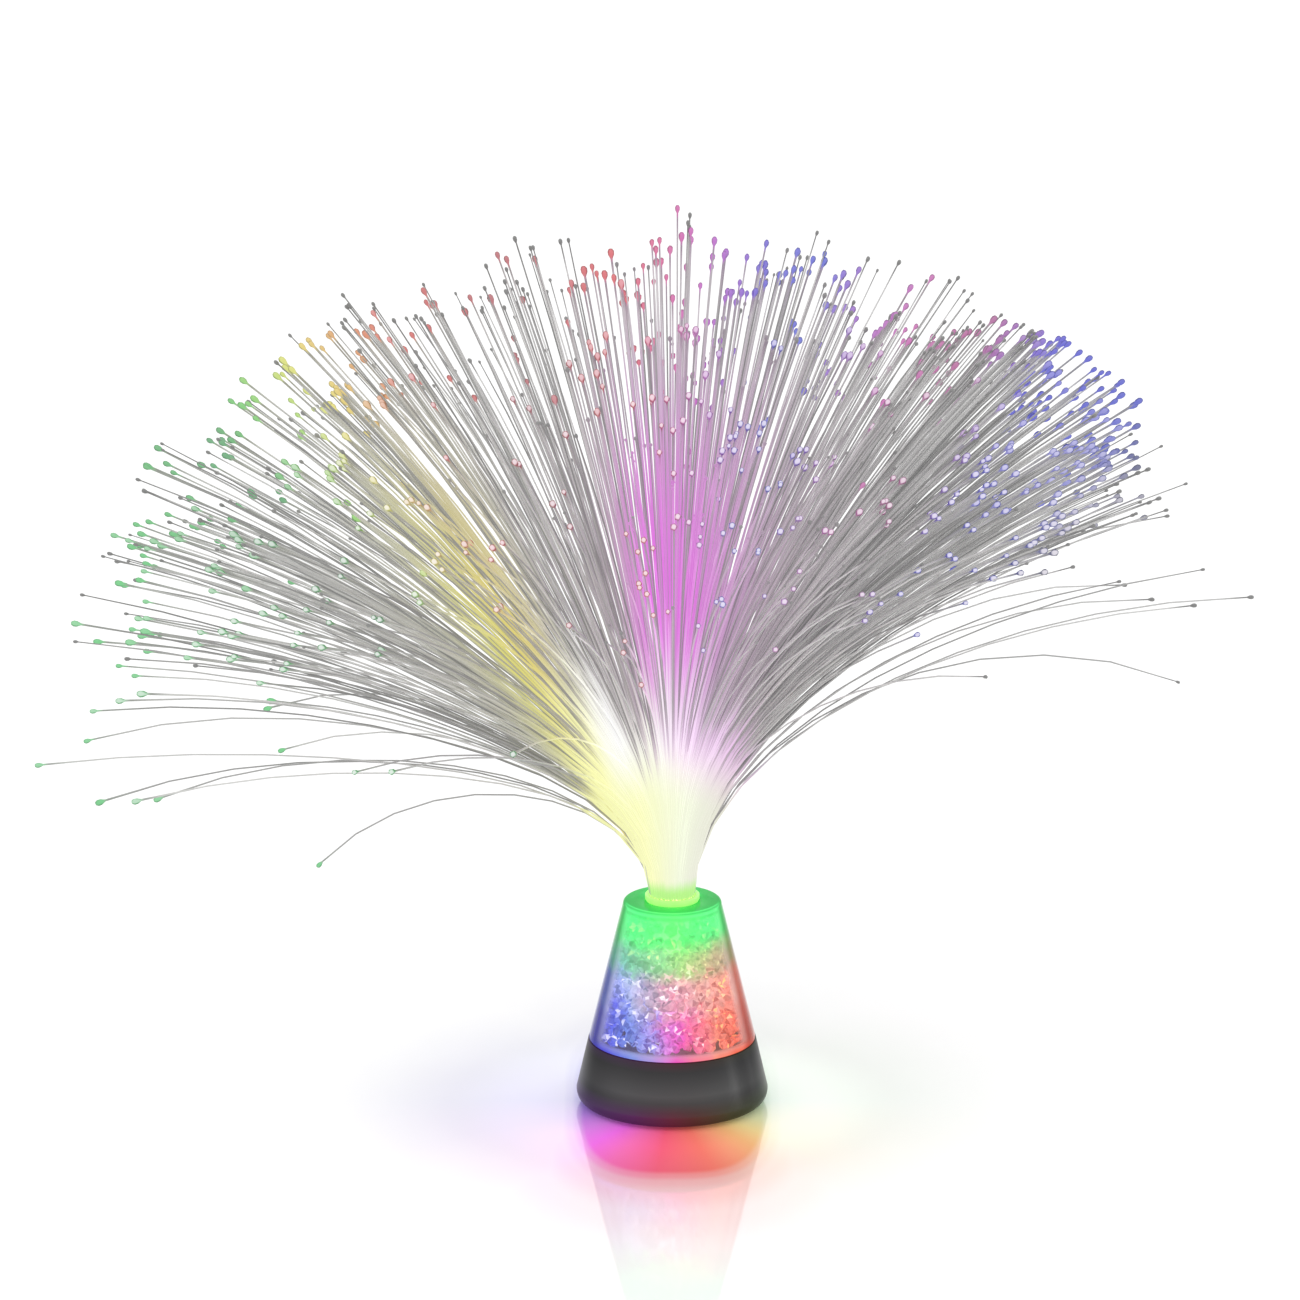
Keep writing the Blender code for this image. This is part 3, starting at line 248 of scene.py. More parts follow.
def drawn_metal(name, dark, light, roughness, lay, line_mm):
    """Plated or drawn metal: fine lines along one way and a slight unevenness of gloss."""
    material, add, shader = start_material(name)
    place = add("TexCoord").outputs["Object"]
    stretched = add("Mapping", Vector=place, Scale=lay)
    lines = add("TexNoise", stretched, 1 / (line_mm * MM), 3.0)
    tone = add("Mix", lines, dark, light, **COLOUR)
    gloss = add("MapRange", lines, 0.0, 1.0, *roughness)
    bump = add("Bump", Height=lines, Strength=0.4, Distance=0.01 * MM)
    fill(shader, Metallic=1.0, Base_Color=tone, Roughness=gloss, Normal=bump)
    return material


CELL_HALF_LENGTH = 0.0225
RESISTOR_HALF_LENGTH = 0.0031


def printed_cell_sleeve():
    """Shrink film printed plain, with a dark end band and no lettering, over a steel can."""
    material, add, shader = start_material("printed_cell_sleeve")
    place = surface_drift(add, shader, "#6E7276", "#85898D", (0.26, 0.36), 8.0, 0.4, 0.004)
    along = add("SeparateXYZ", place).outputs
    share = add("MapRange", along["Y"], -CELL_HALF_LENGTH, CELL_HALF_LENGTH)
    band = add(
        "ValToRGB", share, stops=[(0.0, "#2B2D30"), (0.26, "#2B2D30"), (0.28, "#7C8084"), (1.0, "#8A8E92")])
    fill(shader, Base_Color=band, Metallic=0.35)
    return material


def solder_resist():
    """Glass-epoxy board under green solder resist: glossy, with copper runs that show as paler lines."""
    material, add, shader = start_material("solder_resist")
    place = add("TexCoord").outputs["Object"]
    runs = add(
        "TexBrick", Vector=place, Color1="#0E4A26", Color2="#125A2E", Mortar="#3B8A55", Scale=1 / (6 * MM),
        Mortar_Size=0.035, Brick_Width=0.9, Row_Height=0.35)
    bump = add("Bump", Height=runs.outputs["Fac"], Strength=0.5, Distance=0.03 * MM)
    fill(shader, Base_Color=runs, Roughness=0.28, IOR=1.5, Normal=bump)
    return material


def small_moulding(name, dark, light, roughness):
    """A small moulded, lacquered or sleeved piece with a little unevenness."""
    material, add, shader = start_material(name)
    surface_drift(add, shader, dark, light, roughness, 3.0, 0.3, 0.006)
    return material


def banded_lacquer():
    """Baked resistor lacquer with plain colour bands across the body."""
    material, add, shader = start_material("banded_lacquer")
    place = add("TexCoord").outputs["Object"]
    along = add("SeparateXYZ", place).outputs
    share = add("MapRange", along["Y"], -RESISTOR_HALF_LENGTH, RESISTOR_HALF_LENGTH)
    bands = add(
        "ValToRGB", share, stops=[(0.0, "#C8A878"), (0.2, "#7A4A24"), (0.3, "#C8A878"), (0.42, "#1E1E1E"),
        (0.52, "#C8A878"), (0.64, "#B03028"), (0.74, "#C8A878"), (0.88, "#B8963C"), (0.96, "#C8A878")])
    bands.color_ramp.interpolation = "CONSTANT"
    fill(shader, Base_Color=bands, Roughness=0.4)
    return material


def lit_epoxy(name, colour, strength):
    """Clear cast epoxy of a diode that is lit: glossy, brightest towards its dome."""
    material, add, shader = start_material(name)
    place = add("TexCoord").outputs["Object"]
    haze = add("TexNoise", place, 1 / (1.2 * MM))
    glow = add("Mix", haze, colour, "#FFFFFF", **COLOUR)
    fill(shader, Base_Color=colour, Roughness=0.08, IOR=1.54, Emission_Color=glow, Emission_Strength=strength)
    return material


# Heights over which one row of the diodes' colours goes over into the next
ZONE_BLENDS = [(0.0365, 0.0435), (0.0500, 0.0580), (0.0600, 0.0680)]
# Share of the housing's width over which the colours go from the left to the right
LIT_WIDTH = 0.88


def light_zones():
    """Node group with the colours that the diodes throw: green above, blue, magenta and red side by side."""
    name = "light_zones"
    if name in bpy.data.node_groups:
        return bpy.data.node_groups[name]
    group = bpy.data.node_groups.new(name, "ShaderNodeTree")
    for socket in ("Light", "Deep"):
        group.interface.new_socket(socket, in_out="OUTPUT", socket_type="NodeSocketColor")
    outputs = group.nodes.new("NodeGroupOutput").inputs
    add = partial(add_node, group)
    place = add("TexCoord").outputs["Object"]
    axes = add("SeparateXYZ", place).outputs
    cloud = add("TexNoise", place, 1 / (9 * MM), 2.0)
    wander = add("MapRange", cloud, 0.0, 1.0, -5 * MM, 5 * MM)
    across = add("Math", axes["X"], wander, operation="ADD")
    height = add("Math", axes["Z"], wander, operation="ADD")
    side = add("MapRange", across, house_low.x * LIT_WIDTH, house_high.x * LIT_WIDTH)
    lower = [
        (0.0, "#2A20B4"), (0.12, "#4C50D4"), (0.26, "#7490DC"), (0.38, "#A094DA"), (0.46, "#D07CD4"),
        (0.55, "#E052BC"), (0.64, "#E87098"), (0.76, "#EE8C78"), (0.90, "#E86044"), (1.0, "#C03420")]
    pale = [
        (0.0, "#5C60D4"), (0.14, "#868EE0"), (0.25, "#B0BCE6"), (0.38, "#C4A8C0"), (0.50, "#DC98B0"),
        (0.66, "#E2AEA8"), (0.82, "#EC9A8C"), (1.0, "#C4604C")]
    pale_deep = [
        (0.0, "#1C2090"), (0.25, "#5470B4"), (0.42, "#90889C"), (0.6, "#C47884"), (0.8, "#CC6450"),
        (1.0, "#B04430")]
    lower_deep = [
        (0.0, "#181090"), (0.3, "#3238A8"), (0.45, "#9C40A0"), (0.6, "#C03080"), (0.8, "#C44830"),
        (1.0, "#A8301F")]
    middle = [
        (0.0, "#4C9CA8"), (0.2, "#6CC4A8"), (0.42, "#92DC96"), (0.58, "#B0DC84"), (0.75, "#C0AC84"),
        (1.0, "#B08074")]
    upper = [(0.0, "#38E880"), (0.3, "#48F080"), (0.5, "#58F470"), (0.7, "#4CF07C"), (1.0, "#40E478")]
    middle_deep = [(0.0, "#1C7C80"), (0.5, "#64B458"), (1.0, "#8C5444")]
    upper_deep = [(0.0, "#0A8038"), (0.5, "#20C04C"), (1.0, "#0A7834")]
    for socket, *rows in (
            ("Light", lower, pale, middle, upper), ("Deep", lower_deep, pale_deep, middle_deep, upper_deep)):
        blend, *higher = [add("ValToRGB", side, stops=stops) for stops in rows]
        for (start, end), above in zip(ZONE_BLENDS, higher):
            rise = add("MapRange", height, start, end, **SMOOTH)
            blend = add("Mix", rise, blend, above, **COLOUR)
        feed(outputs[socket], blend)
    return group


def clear_acrylic():
    """Polished moulded acrylic, lit through its edges: seen face on, a thin clear skin low down that fills
    with green light towards the top; seen edge on and at its foot, a solid wall of deeper colour."""
    material, add, shader = start_material("clear_acrylic")
    place = add("TexCoord").outputs["Object"]
    zones = add("Group", node_tree=light_zones()).outputs
    height = add("SeparateXYZ", place).outputs
    rise = add("MapRange", height["Z"], cone_low.z, cone_high.z)
    facing = add("LayerWeight", 0.5).outputs["Facing"]
    edge = add("MapRange", facing, 0.48, 0.70, **SMOOTH)
    filled = add(
        "ValToRGB", rise, stops=[(0.0, "#FFFFFF"), (0.03, "#F0F0F0"), (0.06, "#D0D0D0"), (0.45, "#D0D0D0"),
        (0.62, "#E0E0E0"), (0.80, "#F0F0F0"), (1.0, "#FAFAFA")])
    lines = add(
        "ValToRGB", rise, stops=amounts((0.935, 0.0), (0.952, 0.45), (0.962, 0.45), (0.972, 0.05),
        (0.982, 0.1), (0.992, 0.75), (1.0, 0.12)))
    edge_share = add("Math", edge, lines.outputs["Alpha"], operation="MAXIMUM")
    spigot_share = (house_high.z - cone_low.z) / (cone_high.z - cone_low.z)
    foot = add("MapRange", rise, spigot_share, spigot_share + 0.03, 1.0, 0.0, **SMOOTH)
    turned = add("MapRange", facing, 0.40, 0.66, **SMOOTH)
    solid = add("Math", turned, foot, operation="MAXIMUM")
    face = add("Mix", filled, (0.96, 0.97, 0.97), zones["Light"], **COLOUR)
    tint = add("Mix", edge_share, face, zones["Deep"], **COLOUR)
    rim = add(
        "ValToRGB", rise, stops=[(0.0, "#DCDCDC"), (0.020, "#D0D0D0"), (0.045, "#A0A0A0"), (0.50, "#949494"),
        (0.72, "#C4C4C4"), (0.90, "#ECECEC"), (1.0, "#F4F4F4")])
    body = add(
        "ValToRGB", rise, stops=amounts((0.0, 0.10), (0.50, 0.12), (0.70, 0.28), (0.93, 0.48), (0.97, 0.80),
        (1.0, 0.88)))
    opacity = add("MapRange", solid, 0.0, 1.0, body.outputs["Alpha"], 0.94)
    sheen = add("MapRange", solid, 0.0, 1.0, 0.3, 0.06)
    glow = add("Mix", 1.0, tint, rim, blend_type="MULTIPLY", **COLOUR)
    skin = add("Mix", 1.0, tint, (0.72, 0.72, 0.72), blend_type="MULTIPLY", **COLOUR)
    flow = add("TexNoise", place, 1 / (7 * MM), 1.0)
    bump = add("Bump", Height=flow, Strength=0.3, Distance=0.05 * MM)
    fill(
        shader, Base_Color=skin, Roughness=0.03, IOR=1.49, Alpha=opacity, Specular_IOR_Level=sheen,
        Emission_Color=glow, Emission_Strength=0.7, Normal=bump)
    return material


def glowing_tube():
    """Extruded acrylic tube that carries light up the middle: hazy, with draw lines along it."""
    material, add, shader = start_material("glowing_tube")
    place = add("TexCoord").outputs["Object"]
    zones = add("Group", node_tree=light_zones()).outputs
    stretched = add("Mapping", Vector=place, Scale=(1.0, 1.0, 0.05))
    lines = add("TexNoise", stretched, 1 / (2.0 * MM), 2.0)
    bump = add("Bump", Height=lines, Strength=0.5, Distance=0.1 * MM)
    glow = add("Mix", lines, zones["Light"], (0.8, 1.0, 0.7), **COLOUR)
    fill(
        shader, Base_Color=zones["Light"], Roughness=0.25, IOR=1.49, Transmission_Weight=0.3,
        Emission_Color=glow, Emission_Strength=0.7, Normal=bump)
    return material


def cut_crystal():
    """Tumbled cut acrylic lit from below: each facet catches its own share of the light, some pure white."""
    material, add, shader = start_material("cut_crystal")
    place = add("TexCoord").outputs["Object"]
    zones = add("Group", node_tree=light_zones()).outputs
    facet = add("Attribute", attribute_name="facet_light").outputs["Fac"]
    cloud = add("TexNoise", place, 1 / (1.1 * MM), 3.0)
    axes = add("SeparateXYZ", place).outputs
    spark = add("MapRange", facet, 0.80, 0.94, **SMOOTH)
    deep = add("MapRange", facet, 0.42, 0.0)
    patch = add("TexNoise", place, 1 / (8 * MM))
    warmth = add("Math", patch, axes["X"], operation="MULTIPLY")
    warm = add("MapRange", warmth, 4 * MM, 8 * MM)
    high = add("MapRange", axes["Z"], 0.050, 0.060)
    low_spark = add("Mix", warm, (1.0, 0.97, 1.0), "#FFE07C", **COLOUR)
    sparkle = add("Mix", high, low_spark, "#E4FF9C", **COLOUR)
    body = add("Mix", deep, zones["Light"], zones["Deep"], **COLOUR)
    light = add("Mix", spark, body, sparkle, **COLOUR)
    strength = add("Math", facet, cloud, operation="MULTIPLY")
    power = add("MapRange", strength, 0.0, 0.6, 0.34, 1.06)
    dim = add("Mix", 1.0, body, (0.62, 0.62, 0.62), blend_type="MULTIPLY", **COLOUR)
    fill(
        shader, Base_Color=dim, Roughness=0.05, IOR=1.49, Transmission_Weight=0.12, Emission_Color=light,
        Emission_Strength=power)
    return material


def frosted_collar(colour):
    """Frosted acrylic collar and sleeve that glow with the light spilt from the bundle."""
    material, add, shader = start_material("frosted_collar")
    surface_drift(add, shader, shade(colour, 0.8), colour, (0.35, 0.45), 4.0, 0.3, 0.01)
    place = add("TexCoord").outputs["Object"]
    cloud = add("TexNoise", place, 1 / (3 * MM))
    glow = add("Mix", cloud, shade(colour, 0.8), "#D8F8A8", **COLOUR)
    fill(shader, Emission_Color=glow, Emission_Strength=0.36, Transmission_Weight=0.4, IOR=1.49)
    return material


def potted_ends():
    """Fibre ends set in clear resin: a honeycomb of bright round ends with darker resin between."""
    material, add, shader = start_material("potted_ends")
    place = add("TexCoord").outputs["Object"]
    cells = add("TexVoronoi", place, 1 / (0.6 * MM))
    glow = add("ValToRGB", cells, stops=[(0.0, "#F6FFD0"), (0.45, "#C8F078"), (0.7, "#78C848")])
    fill(shader, Base_Color=glow, Roughness=0.3, IOR=1.5, Emission_Color=glow, Emission_Strength=0.9)
    return material


# What each point of a fibre knows: first by its place, then by its fibre
FIBRE_NOTES = ("along", "fan_place", "reach", "fibre_tone", "tip_lit", "core", "tip_front")


def fan_share(degrees):
    """Place of a fan angle, from the left to the right, on a ramp."""
    return (degrees + 110) / 220


def over_fan(*stops):
    """Stops of a ramp over the fan, with their places as angles in degrees."""
    return [(fan_share(degrees), *rest) for degrees, *rest in stops]


def light_fibre(colour):
    """Drawn acrylic fibre: clear grey shafts with a faint painted grey glow for the stray light they pick up,
    glowing where they leave the bundle and at their fused ball ends."""
    material, add, shader = start_material("light_fibre")
    along, fan, reach, tone, lit, core, front = (
        add("Attribute", attribute_name=name).outputs["Fac"] for name in FIBRE_NOTES)
    grey = add("Mix", tone, shade(colour, 0.46), shade(colour, 1.7), **COLOUR)
    # ball ends: coloured by their place in the fan, with painted shade at the rim and a painted white
    # highlight in the middle of those that face the front
    facing = add("LayerWeight", 0.5).outputs["Facing"]
    tips = add(
        "ValToRGB", fan, stops=over_fan((-100, "#4CC070"), (-60, "#58CC74"), (-50, "#54B868"),
        (-44, "#46A060"), (-40, "#6CCC60"), (-37, "#B0D860"), (-34, "#E8E068"), (-30, "#DC9C54"),
        (-26, "#D8584C"), (-16, "#B45860"), (-5, "#DC5058"), (-1, "#D85090"), (3, "#C050C4"), (8, "#5C50D0"),
        (13, "#5260D4"), (17, "#9C5CC8"), (22, "#C85CB0"), (28, "#B05490"), (32, "#7C4CC4"), (34, "#3C40D0"),
        (42, "#3848C8"), (46, "#484E78"), (60, "#4C4E50")))
    middle = add("MapRange", facing, 0.12, 0.62, 1.0, 0.0, **SMOOTH)
    whiteness = add("Math", front, 0.62, 0.10, operation="MULTIPLY_ADD")
    painted_bead_highlight = add("Math", middle, whiteness, operation="MULTIPLY")
    rim = add("MapRange", facing, 0.15, 0.75, **SMOOTH)
    tips_with_painted_rim_shade = add("Mix", rim, tips, (0.42, 0.42, 0.42), blend_type="MULTIPLY", **COLOUR)
    end = add("Mix", painted_bead_highlight, tips_with_painted_rim_shade, (1.0, 0.95, 1.0), **COLOUR)
    # shafts: the lit bundle, its pale stems, and the streaks of yellow and magenta that run on above them
    pool = add(
        "ValToRGB", fan, stops=over_fan((-60, "#D8DAA0"), (-38, "#F0F2AC"), (-18, "#F7F9BC"), (-6, "#F4F8D0"),
        (6, "#F0F6DC"), (16, "#EAECDA"), (40, "#D8D2C8")))
    stem = add(
        "ValToRGB", fan, stops=over_fan((-60, "#C8C8A0", 0.06), (-45, "#E4E4AC", 0.13),
        (-34, "#F6F6A8", 0.25), (-27, "#FAFAB4", 0.32), (-22, "#FAFAEC", 0.40), (-18, "#F8F8F8", 0.38),
        (-13, "#FAFAF2", 0.24), (-8, "#F8F8EE", 0.27), (-3, "#F9F0F8", 0.31), (5, "#FADEFC", 0.29),
        (13, "#F8D6FA", 0.28), (24, "#E8BEE8", 0.24), (36, "#CCB4CC", 0.17), (50, "#BCB0BC", 0.10)))
    band = add(
        "ValToRGB", fan, stops=over_fan((-80, "#A0AC98", 0.02), (-48, "#B4BC8C", 0.12),
        (-40, "#CCCC80", 0.35), (-34, "#DCD870", 0.95), (-29, "#DCCC6C", 1.0), (-25, "#E4D890", 0.65),
        (-20, "#D8D4CC", 0.20), (-12, "#C8A4BC", 0.25), (-7, "#E07CDC", 0.85), (-4, "#E868E8", 1.0),
        (4, "#E068E0", 0.90), (11, "#D480D4", 0.65), (18, "#C48CBC", 0.35), (26, "#B894AC", 0.15),
        (36, "#A8A0C0", 0.04)))
    # how far up each fibre its end, its root and its streak are lit
    ball = add("MapRange", along, 0.975, 0.992, **SMOOTH)
    near_tip = add("MapRange", along, 0.86, 1.0, 0.0, 0.35, **SMOOTH)
    tip_share = add("Math", ball, near_tip, operation="MAXIMUM")
    tip_share = add("Math", tip_share, lit, operation="MULTIPLY")
    spent = add("Math", reach, stem.outputs["Alpha"], operation="DIVIDE")
    own_pace = add("MapRange", tone, 0.0, 1.0, 1.25, 0.80)
    spent = add("Math", spent, own_pace, operation="MULTIPLY")
    root = add("MapRange", spent, 0.70, 1.32, 1.0, 0.0, **SMOOTH)
    root = add("Math", root, core, operation="MULTIPLY")
    fading = add("MapRange", reach, 0.44, 1.08, 1.0, 0.0, **SMOOTH)
    streak = add("Math", fading, band.outputs["Alpha"], operation="MULTIPLY")
    evened = add("MapRange", tone, 0.10, 0.62, 0.22, **SMOOTH)
    streak = add("Math", streak, evened, operation="MULTIPLY")
    foot = add("MapRange", along, 0.008, 0.034, 1.0, 0.0, **SMOOTH)
    climb = add("MapRange", reach, 0.13, 0.25, **SMOOTH)
    rising = add("Mix", climb, pool, stem, **COLOUR)
    low = add("Mix", foot, rising, "#B8F488", **COLOUR)
    shaft = add("Mix", root, band, low, **COLOUR)
    shaft_share = add("Math", root, streak, operation="MAXIMUM")
    light = add("Mix", tip_share, shaft, end, **COLOUR)
    share = add("Math", tip_share, shaft_share, operation="MAXIMUM")
    dull = add("MapRange", along, 0.95, 0.99, **SMOOTH)
    plain = add("Mix", dull, grey, shade(colour, 0.42), **COLOUR)
    base = add("Mix", share, plain, (0.03, 0.03, 0.03), **COLOUR)
    # Painted light: every fibre, lit or not, also glows a faint grey, which lifts the shade in the dense
    # spray
    glow = add("Mix", share, (0.5, 0.5, 0.5), light, **COLOUR)
    power = add("Math", share, 0.80, 0.14, operation="MULTIPLY_ADD")
    fill(shader, Base_Color=base, Roughness=0.28, IOR=1.49, Emission_Color=glow, Emission_Strength=power)
    return material


def deselect():
    """Leave edit mode and select nothing, so that an operator acts only on what comes next."""
    if bpy.context.mode != "OBJECT":
        bpy.ops.object.mode_set(mode="OBJECT")
    bpy.ops.object.select_all(action="DESELECT")


def select_only(piece):
    """Select one piece and make it active."""
    deselect()
    piece.select_set(True)
    bpy.context.view_layer.objects.active = piece


def spun(name, profile, steps, closed=True):
    """Draw a half section by extruding one vertex along it, then spin it round the Z axis."""
    deselect()
    bpy.ops.mesh.primitive_plane_add(size=MM, location=(0, 0, 0))
    piece = bpy.context.active_object
    piece.name = piece.data.name = name
    bpy.ops.object.mode_set(mode="EDIT")
    bpy.ops.mesh.select_all(action="SELECT")
    bpy.ops.mesh.merge(type="CENTER")
    bpy.ops.transform.translate(value=(profile[0][0], 0, profile[0][1]))
    for (radius, height), (next_radius, next_height) in zip(profile, profile[1:]):
        step = (next_radius - radius, 0, next_height - height)
        bpy.ops.mesh.extrude_region_move(TRANSFORM_OT_translate={"value": step})
    if closed:
        shape = bmesh.from_edit_mesh(piece.data)
        for vertex in shape.verts:
            vertex.select = len(vertex.link_edges) < 2
        bmesh.update_edit_mesh(piece.data)
        bpy.ops.mesh.edge_face_add()
    bpy.ops.mesh.select_all(action="SELECT")
    bpy.ops.mesh.spin(steps=steps, angle=math.tau, center=(0, 0, 0), axis=(0, 0, 1), use_auto_merge=True)
    bpy.ops.mesh.select_all(action="SELECT")
    bpy.ops.mesh.remove_doubles(threshold=0.001 * MM)
    bpy.ops.mesh.normals_make_consistent(inside=False)
    bpy.ops.object.mode_set(mode="OBJECT")
    return piece


def apply_modifier(piece, kind, **settings):
    """Put a modifier on a piece and apply it."""
    select_only(piece)
    modifier = piece.modifiers.new(kind.title(), kind)
    for name, value in settings.items():
        setattr(modifier, name, value)
    bpy.ops.object.modifier_apply(modifier=modifier.name)


def round_edges(piece, width, segments=2):
    """Round the sharp edges of a piece and shade its curved faces smooth."""
    apply_modifier(
        piece, "BEVEL", width=width, segments=segments, limit_method="ANGLE", angle_limit=SMOOTH_ANGLE)
    select_only(piece)
    bpy.ops.object.shade_smooth_by_angle(angle=SMOOTH_ANGLE)


def round_place(radius, degrees):
    """A place on a circle round the lamp's axis."""
    return radius * math.cos(math.radians(degrees)), radius * math.sin(math.radians(degrees))


def arc(centre, radii, start, end, steps):
    """Points of an elliptical arc in a half section."""
    turns = [start + (end - start) * step / steps for step in range(steps + 1)]
    return [(centre[0] + radii[0] * math.cos(turn), centre[1] + radii[1] * math.sin(turn)) for turn in turns]


def mesh_piece(name, points, faces):
    """A piece from computed points and faces."""
    deselect()
    mesh = bpy.data.meshes.new(name)
    mesh.from_pydata(points, [], faces)
    mesh.validate()
    piece = bpy.data.objects.new(name, mesh)
    bpy.context.scene.collection.objects.link(piece)
    return piece


def take_mesh(piece):
    """Points and faces of a model that is copied many times; the model itself is removed."""
    points = np.array([vertex.co for vertex in piece.data.vertices])
    faces = [list(face.vertices) for face in piece.data.polygons]
    bpy.data.objects.remove(piece)
    return points, faces


def finish_piece(piece, material, body, slot, *nodes):
    """Give a piece its material and its body, and hide the nodes it stands for. The slot is not used."""
    piece.data.materials.clear()
    piece.data.materials.append(material)
    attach(piece, body)
    if nodes:
        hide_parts(*nodes)


def dress(material, *nodes):
    """Give nodes that are carried over as they are a better material."""
    for node in nodes:
        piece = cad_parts[node]
        if not piece.material_slots:
            piece.data.materials.append(material)
        for material_slot in piece.material_slots:
            material_slot.material = material


def numbered(stem, count):
    """Names that end in a number."""
    return [f"{stem}_{number}" for number in range(1, count + 1)]


VIEW_CENTRE = (-0.0081, 0.0, 0.1716)
VIEW_ELEVATION = math.radians(16.3)
VIEW_DISTANCE = 3.0
VIEW_WIDTH = 0.4680
FLOOR_SIZE = 40.0
ROOM_LIGHT = 1.06

# Colour of the lamp's light painted on the floor, by direction round the lamp: degrees from the left,
# through the front
PAINTED_FLOOR_HUES = [(degrees / 360, colour) for degrees, colour in (
    (0, "#9C90E0"), (26, "#BC88E8"), (44, "#E088EE"), (59, "#FA74F0"), (72, "#FF74BE"), (86, "#FF6482"),
    (101, "#FF7E70"), (110, "#FFA07C"), (121, "#F8BC7F"), (132, "#F3D995"), (146, "#E4E4B0"),
    (180, "#CCE8CC"), (225, "#D4EAD4"), (270, "#ECECF2"), (315, "#B8B8E8"), (360, "#9C90E0"))]
# Painted light on the floor: size and reach of its pool, and the start, end and strength of its haze
PAINTED_POOL_HALF_SIZE = (0.0345, 0.0812)
PAINTED_POOL_REACH = 2.5
PAINTED_HAZE_START, PAINTED_HAZE_END, PAINTED_HAZE_SHARE = 0.040, 0.150, 0.46
# How strong the painted light on the floor is, by its distance as a share of the reach
PAINTED_FLOOR_FADE = [(0.37, 1.0), (0.40, 0.78), (0.43, 0.56), (0.48, 0.40), (0.60, 0.20), (0.80, 0.06), (0.96, 0.0)]
# Where the floor's painted glow round the base, which also lifts the shade there, fades out
PAINTED_GLOW_START, PAINTED_GLOW_END = 0.046, 0.085


def stage_floor_material():
    """White acrylic sheet with a mirror-like skin that shows the lamp upside down, with the light the lamp
    throws painted on it.
    """
    material, add, shader = start_material("stage_floor")
    place = add("TexCoord").outputs["Object"]
    turn = add("TexGradient", place, gradient_type="RADIAL")
    hues = add("ValToRGB", turn.outputs["Fac"], stops=PAINTED_FLOOR_HUES)
    haze = add("TexNoise", place, 1 / (60 * MM))
    half_x, half_y = PAINTED_POOL_HALF_SIZE
    scaled = add("VectorMath", place, (1 / half_x, 1 / half_y, 0.0), operation="MULTIPLY")
    squared = add("VectorMath", scaled, scaled, operation="MULTIPLY")
    positive = add("VectorMath", scaled, operation="ABSOLUTE")
    pool = add("VectorMath", squared, positive, operation="DOT_PRODUCT")
    boxy = add("Math", pool, 1 / 3, operation="POWER")
    pool_share = add("Math", boxy, PAINTED_POOL_REACH, operation="DIVIDE")
    glow = add("ValToRGB", pool_share, stops=amounts(*PAINTED_FLOOR_FADE))
    glow.color_ramp.interpolation = "EASE"
    reach = add("VectorMath", place, operation="LENGTH")
    drift = add("Math", haze, 0.012, reach, operation="MULTIPLY_ADD")
    wide = add("MapRange", drift, PAINTED_HAZE_START, PAINTED_HAZE_END, PAINTED_HAZE_SHARE, 0.0, **SMOOTH)
    cast = add("Math", glow.outputs["Alpha"], wide, operation="MAXIMUM")
    # Painted light: the lamp's colours tint the floor in a pool round it and in a faint haze beyond
    colour = add("Mix", cast, "#FFFFFF", hues, **COLOUR)
    gloss = add("MapRange", haze, 0.0, 1.0, 0.04, 0.07)
    # Painted light: the floor glows with the same colours close round the base
    lit = add("MapRange", reach, PAINTED_GLOW_START, PAINTED_GLOW_END, 0.20, 0.0, **SMOOTH)
    fill(shader, Base_Color=colour, Roughness=gloss, IOR=1.75, Emission_Color=colour, Emission_Strength=lit)
    return material


def add_light(name, place, aim, energy, size):
    """A soft studio light that the camera doesn't see."""
    lamp = bpy.data.lights.new(name, "AREA")
    lamp.energy = energy
    lamp.shape = "RECTANGLE"
    lamp.size, lamp.size_y = size
    light = bpy.data.objects.new(name, lamp)
    light.location = place
    light.rotation_euler = (Vector(aim) - Vector(place)).to_track_quat("-Z", "Y").to_euler()
    light.visible_camera = False
    bpy.context.scene.collection.objects.link(light)


class LAMP_OT_stage(bpy.types.Operator):
    """Add the pale floor, the soft studio lights and the camera"""

    bl_idname = "lamp.stage"
    bl_label = "Stage"

    def execute(self, context):
        deselect()
        bpy.ops.mesh.primitive_plane_add(size=FLOOR_SIZE, location=(0, 0, 0))
        floor = context.active_object
        floor.name = floor.data.name = "stage_floor"
        floor.data.materials.append(stage_floor_material())

        world = bpy.data.worlds.new("soft_white_room")
        context.scene.world = world
        world.use_nodes = True
        fill(world.node_tree.nodes["Background"], Color="#FFFFFF", Strength=ROOM_LIGHT)
        add_light("top_softbox", (-0.5, -0.8, 2.2), (0, 0, 0.1), 8.0, (1.8, 1.8))
        add_light("right_strip", (1.1, -0.12, 0.35), (0, 0, 0.05), 0.8, (0.10, 0.9))
        add_light("right_back_strip", (1.05, 0.55, 0.35), (0, 0, 0.05), 0.6, (0.08, 0.9))

        lens = bpy.data.cameras.new("photograph_view")
        camera = bpy.data.objects.new("photograph_view", lens)
        back = Vector((0, -math.cos(VIEW_ELEVATION), math.sin(VIEW_ELEVATION)))
        camera.location = Vector(VIEW_CENTRE) + back * VIEW_DISTANCE
        camera.rotation_euler = (-back).to_track_quat("-Z", "Y").to_euler()
        lens.lens = lens.sensor_width * VIEW_DISTANCE / VIEW_WIDTH
        lens.clip_end = 100.0
        context.scene.collection.objects.link(camera)
        context.scene.camera = camera
        context.scene.view_settings.view_transform = "Standard"
        return {"FINISHED"}


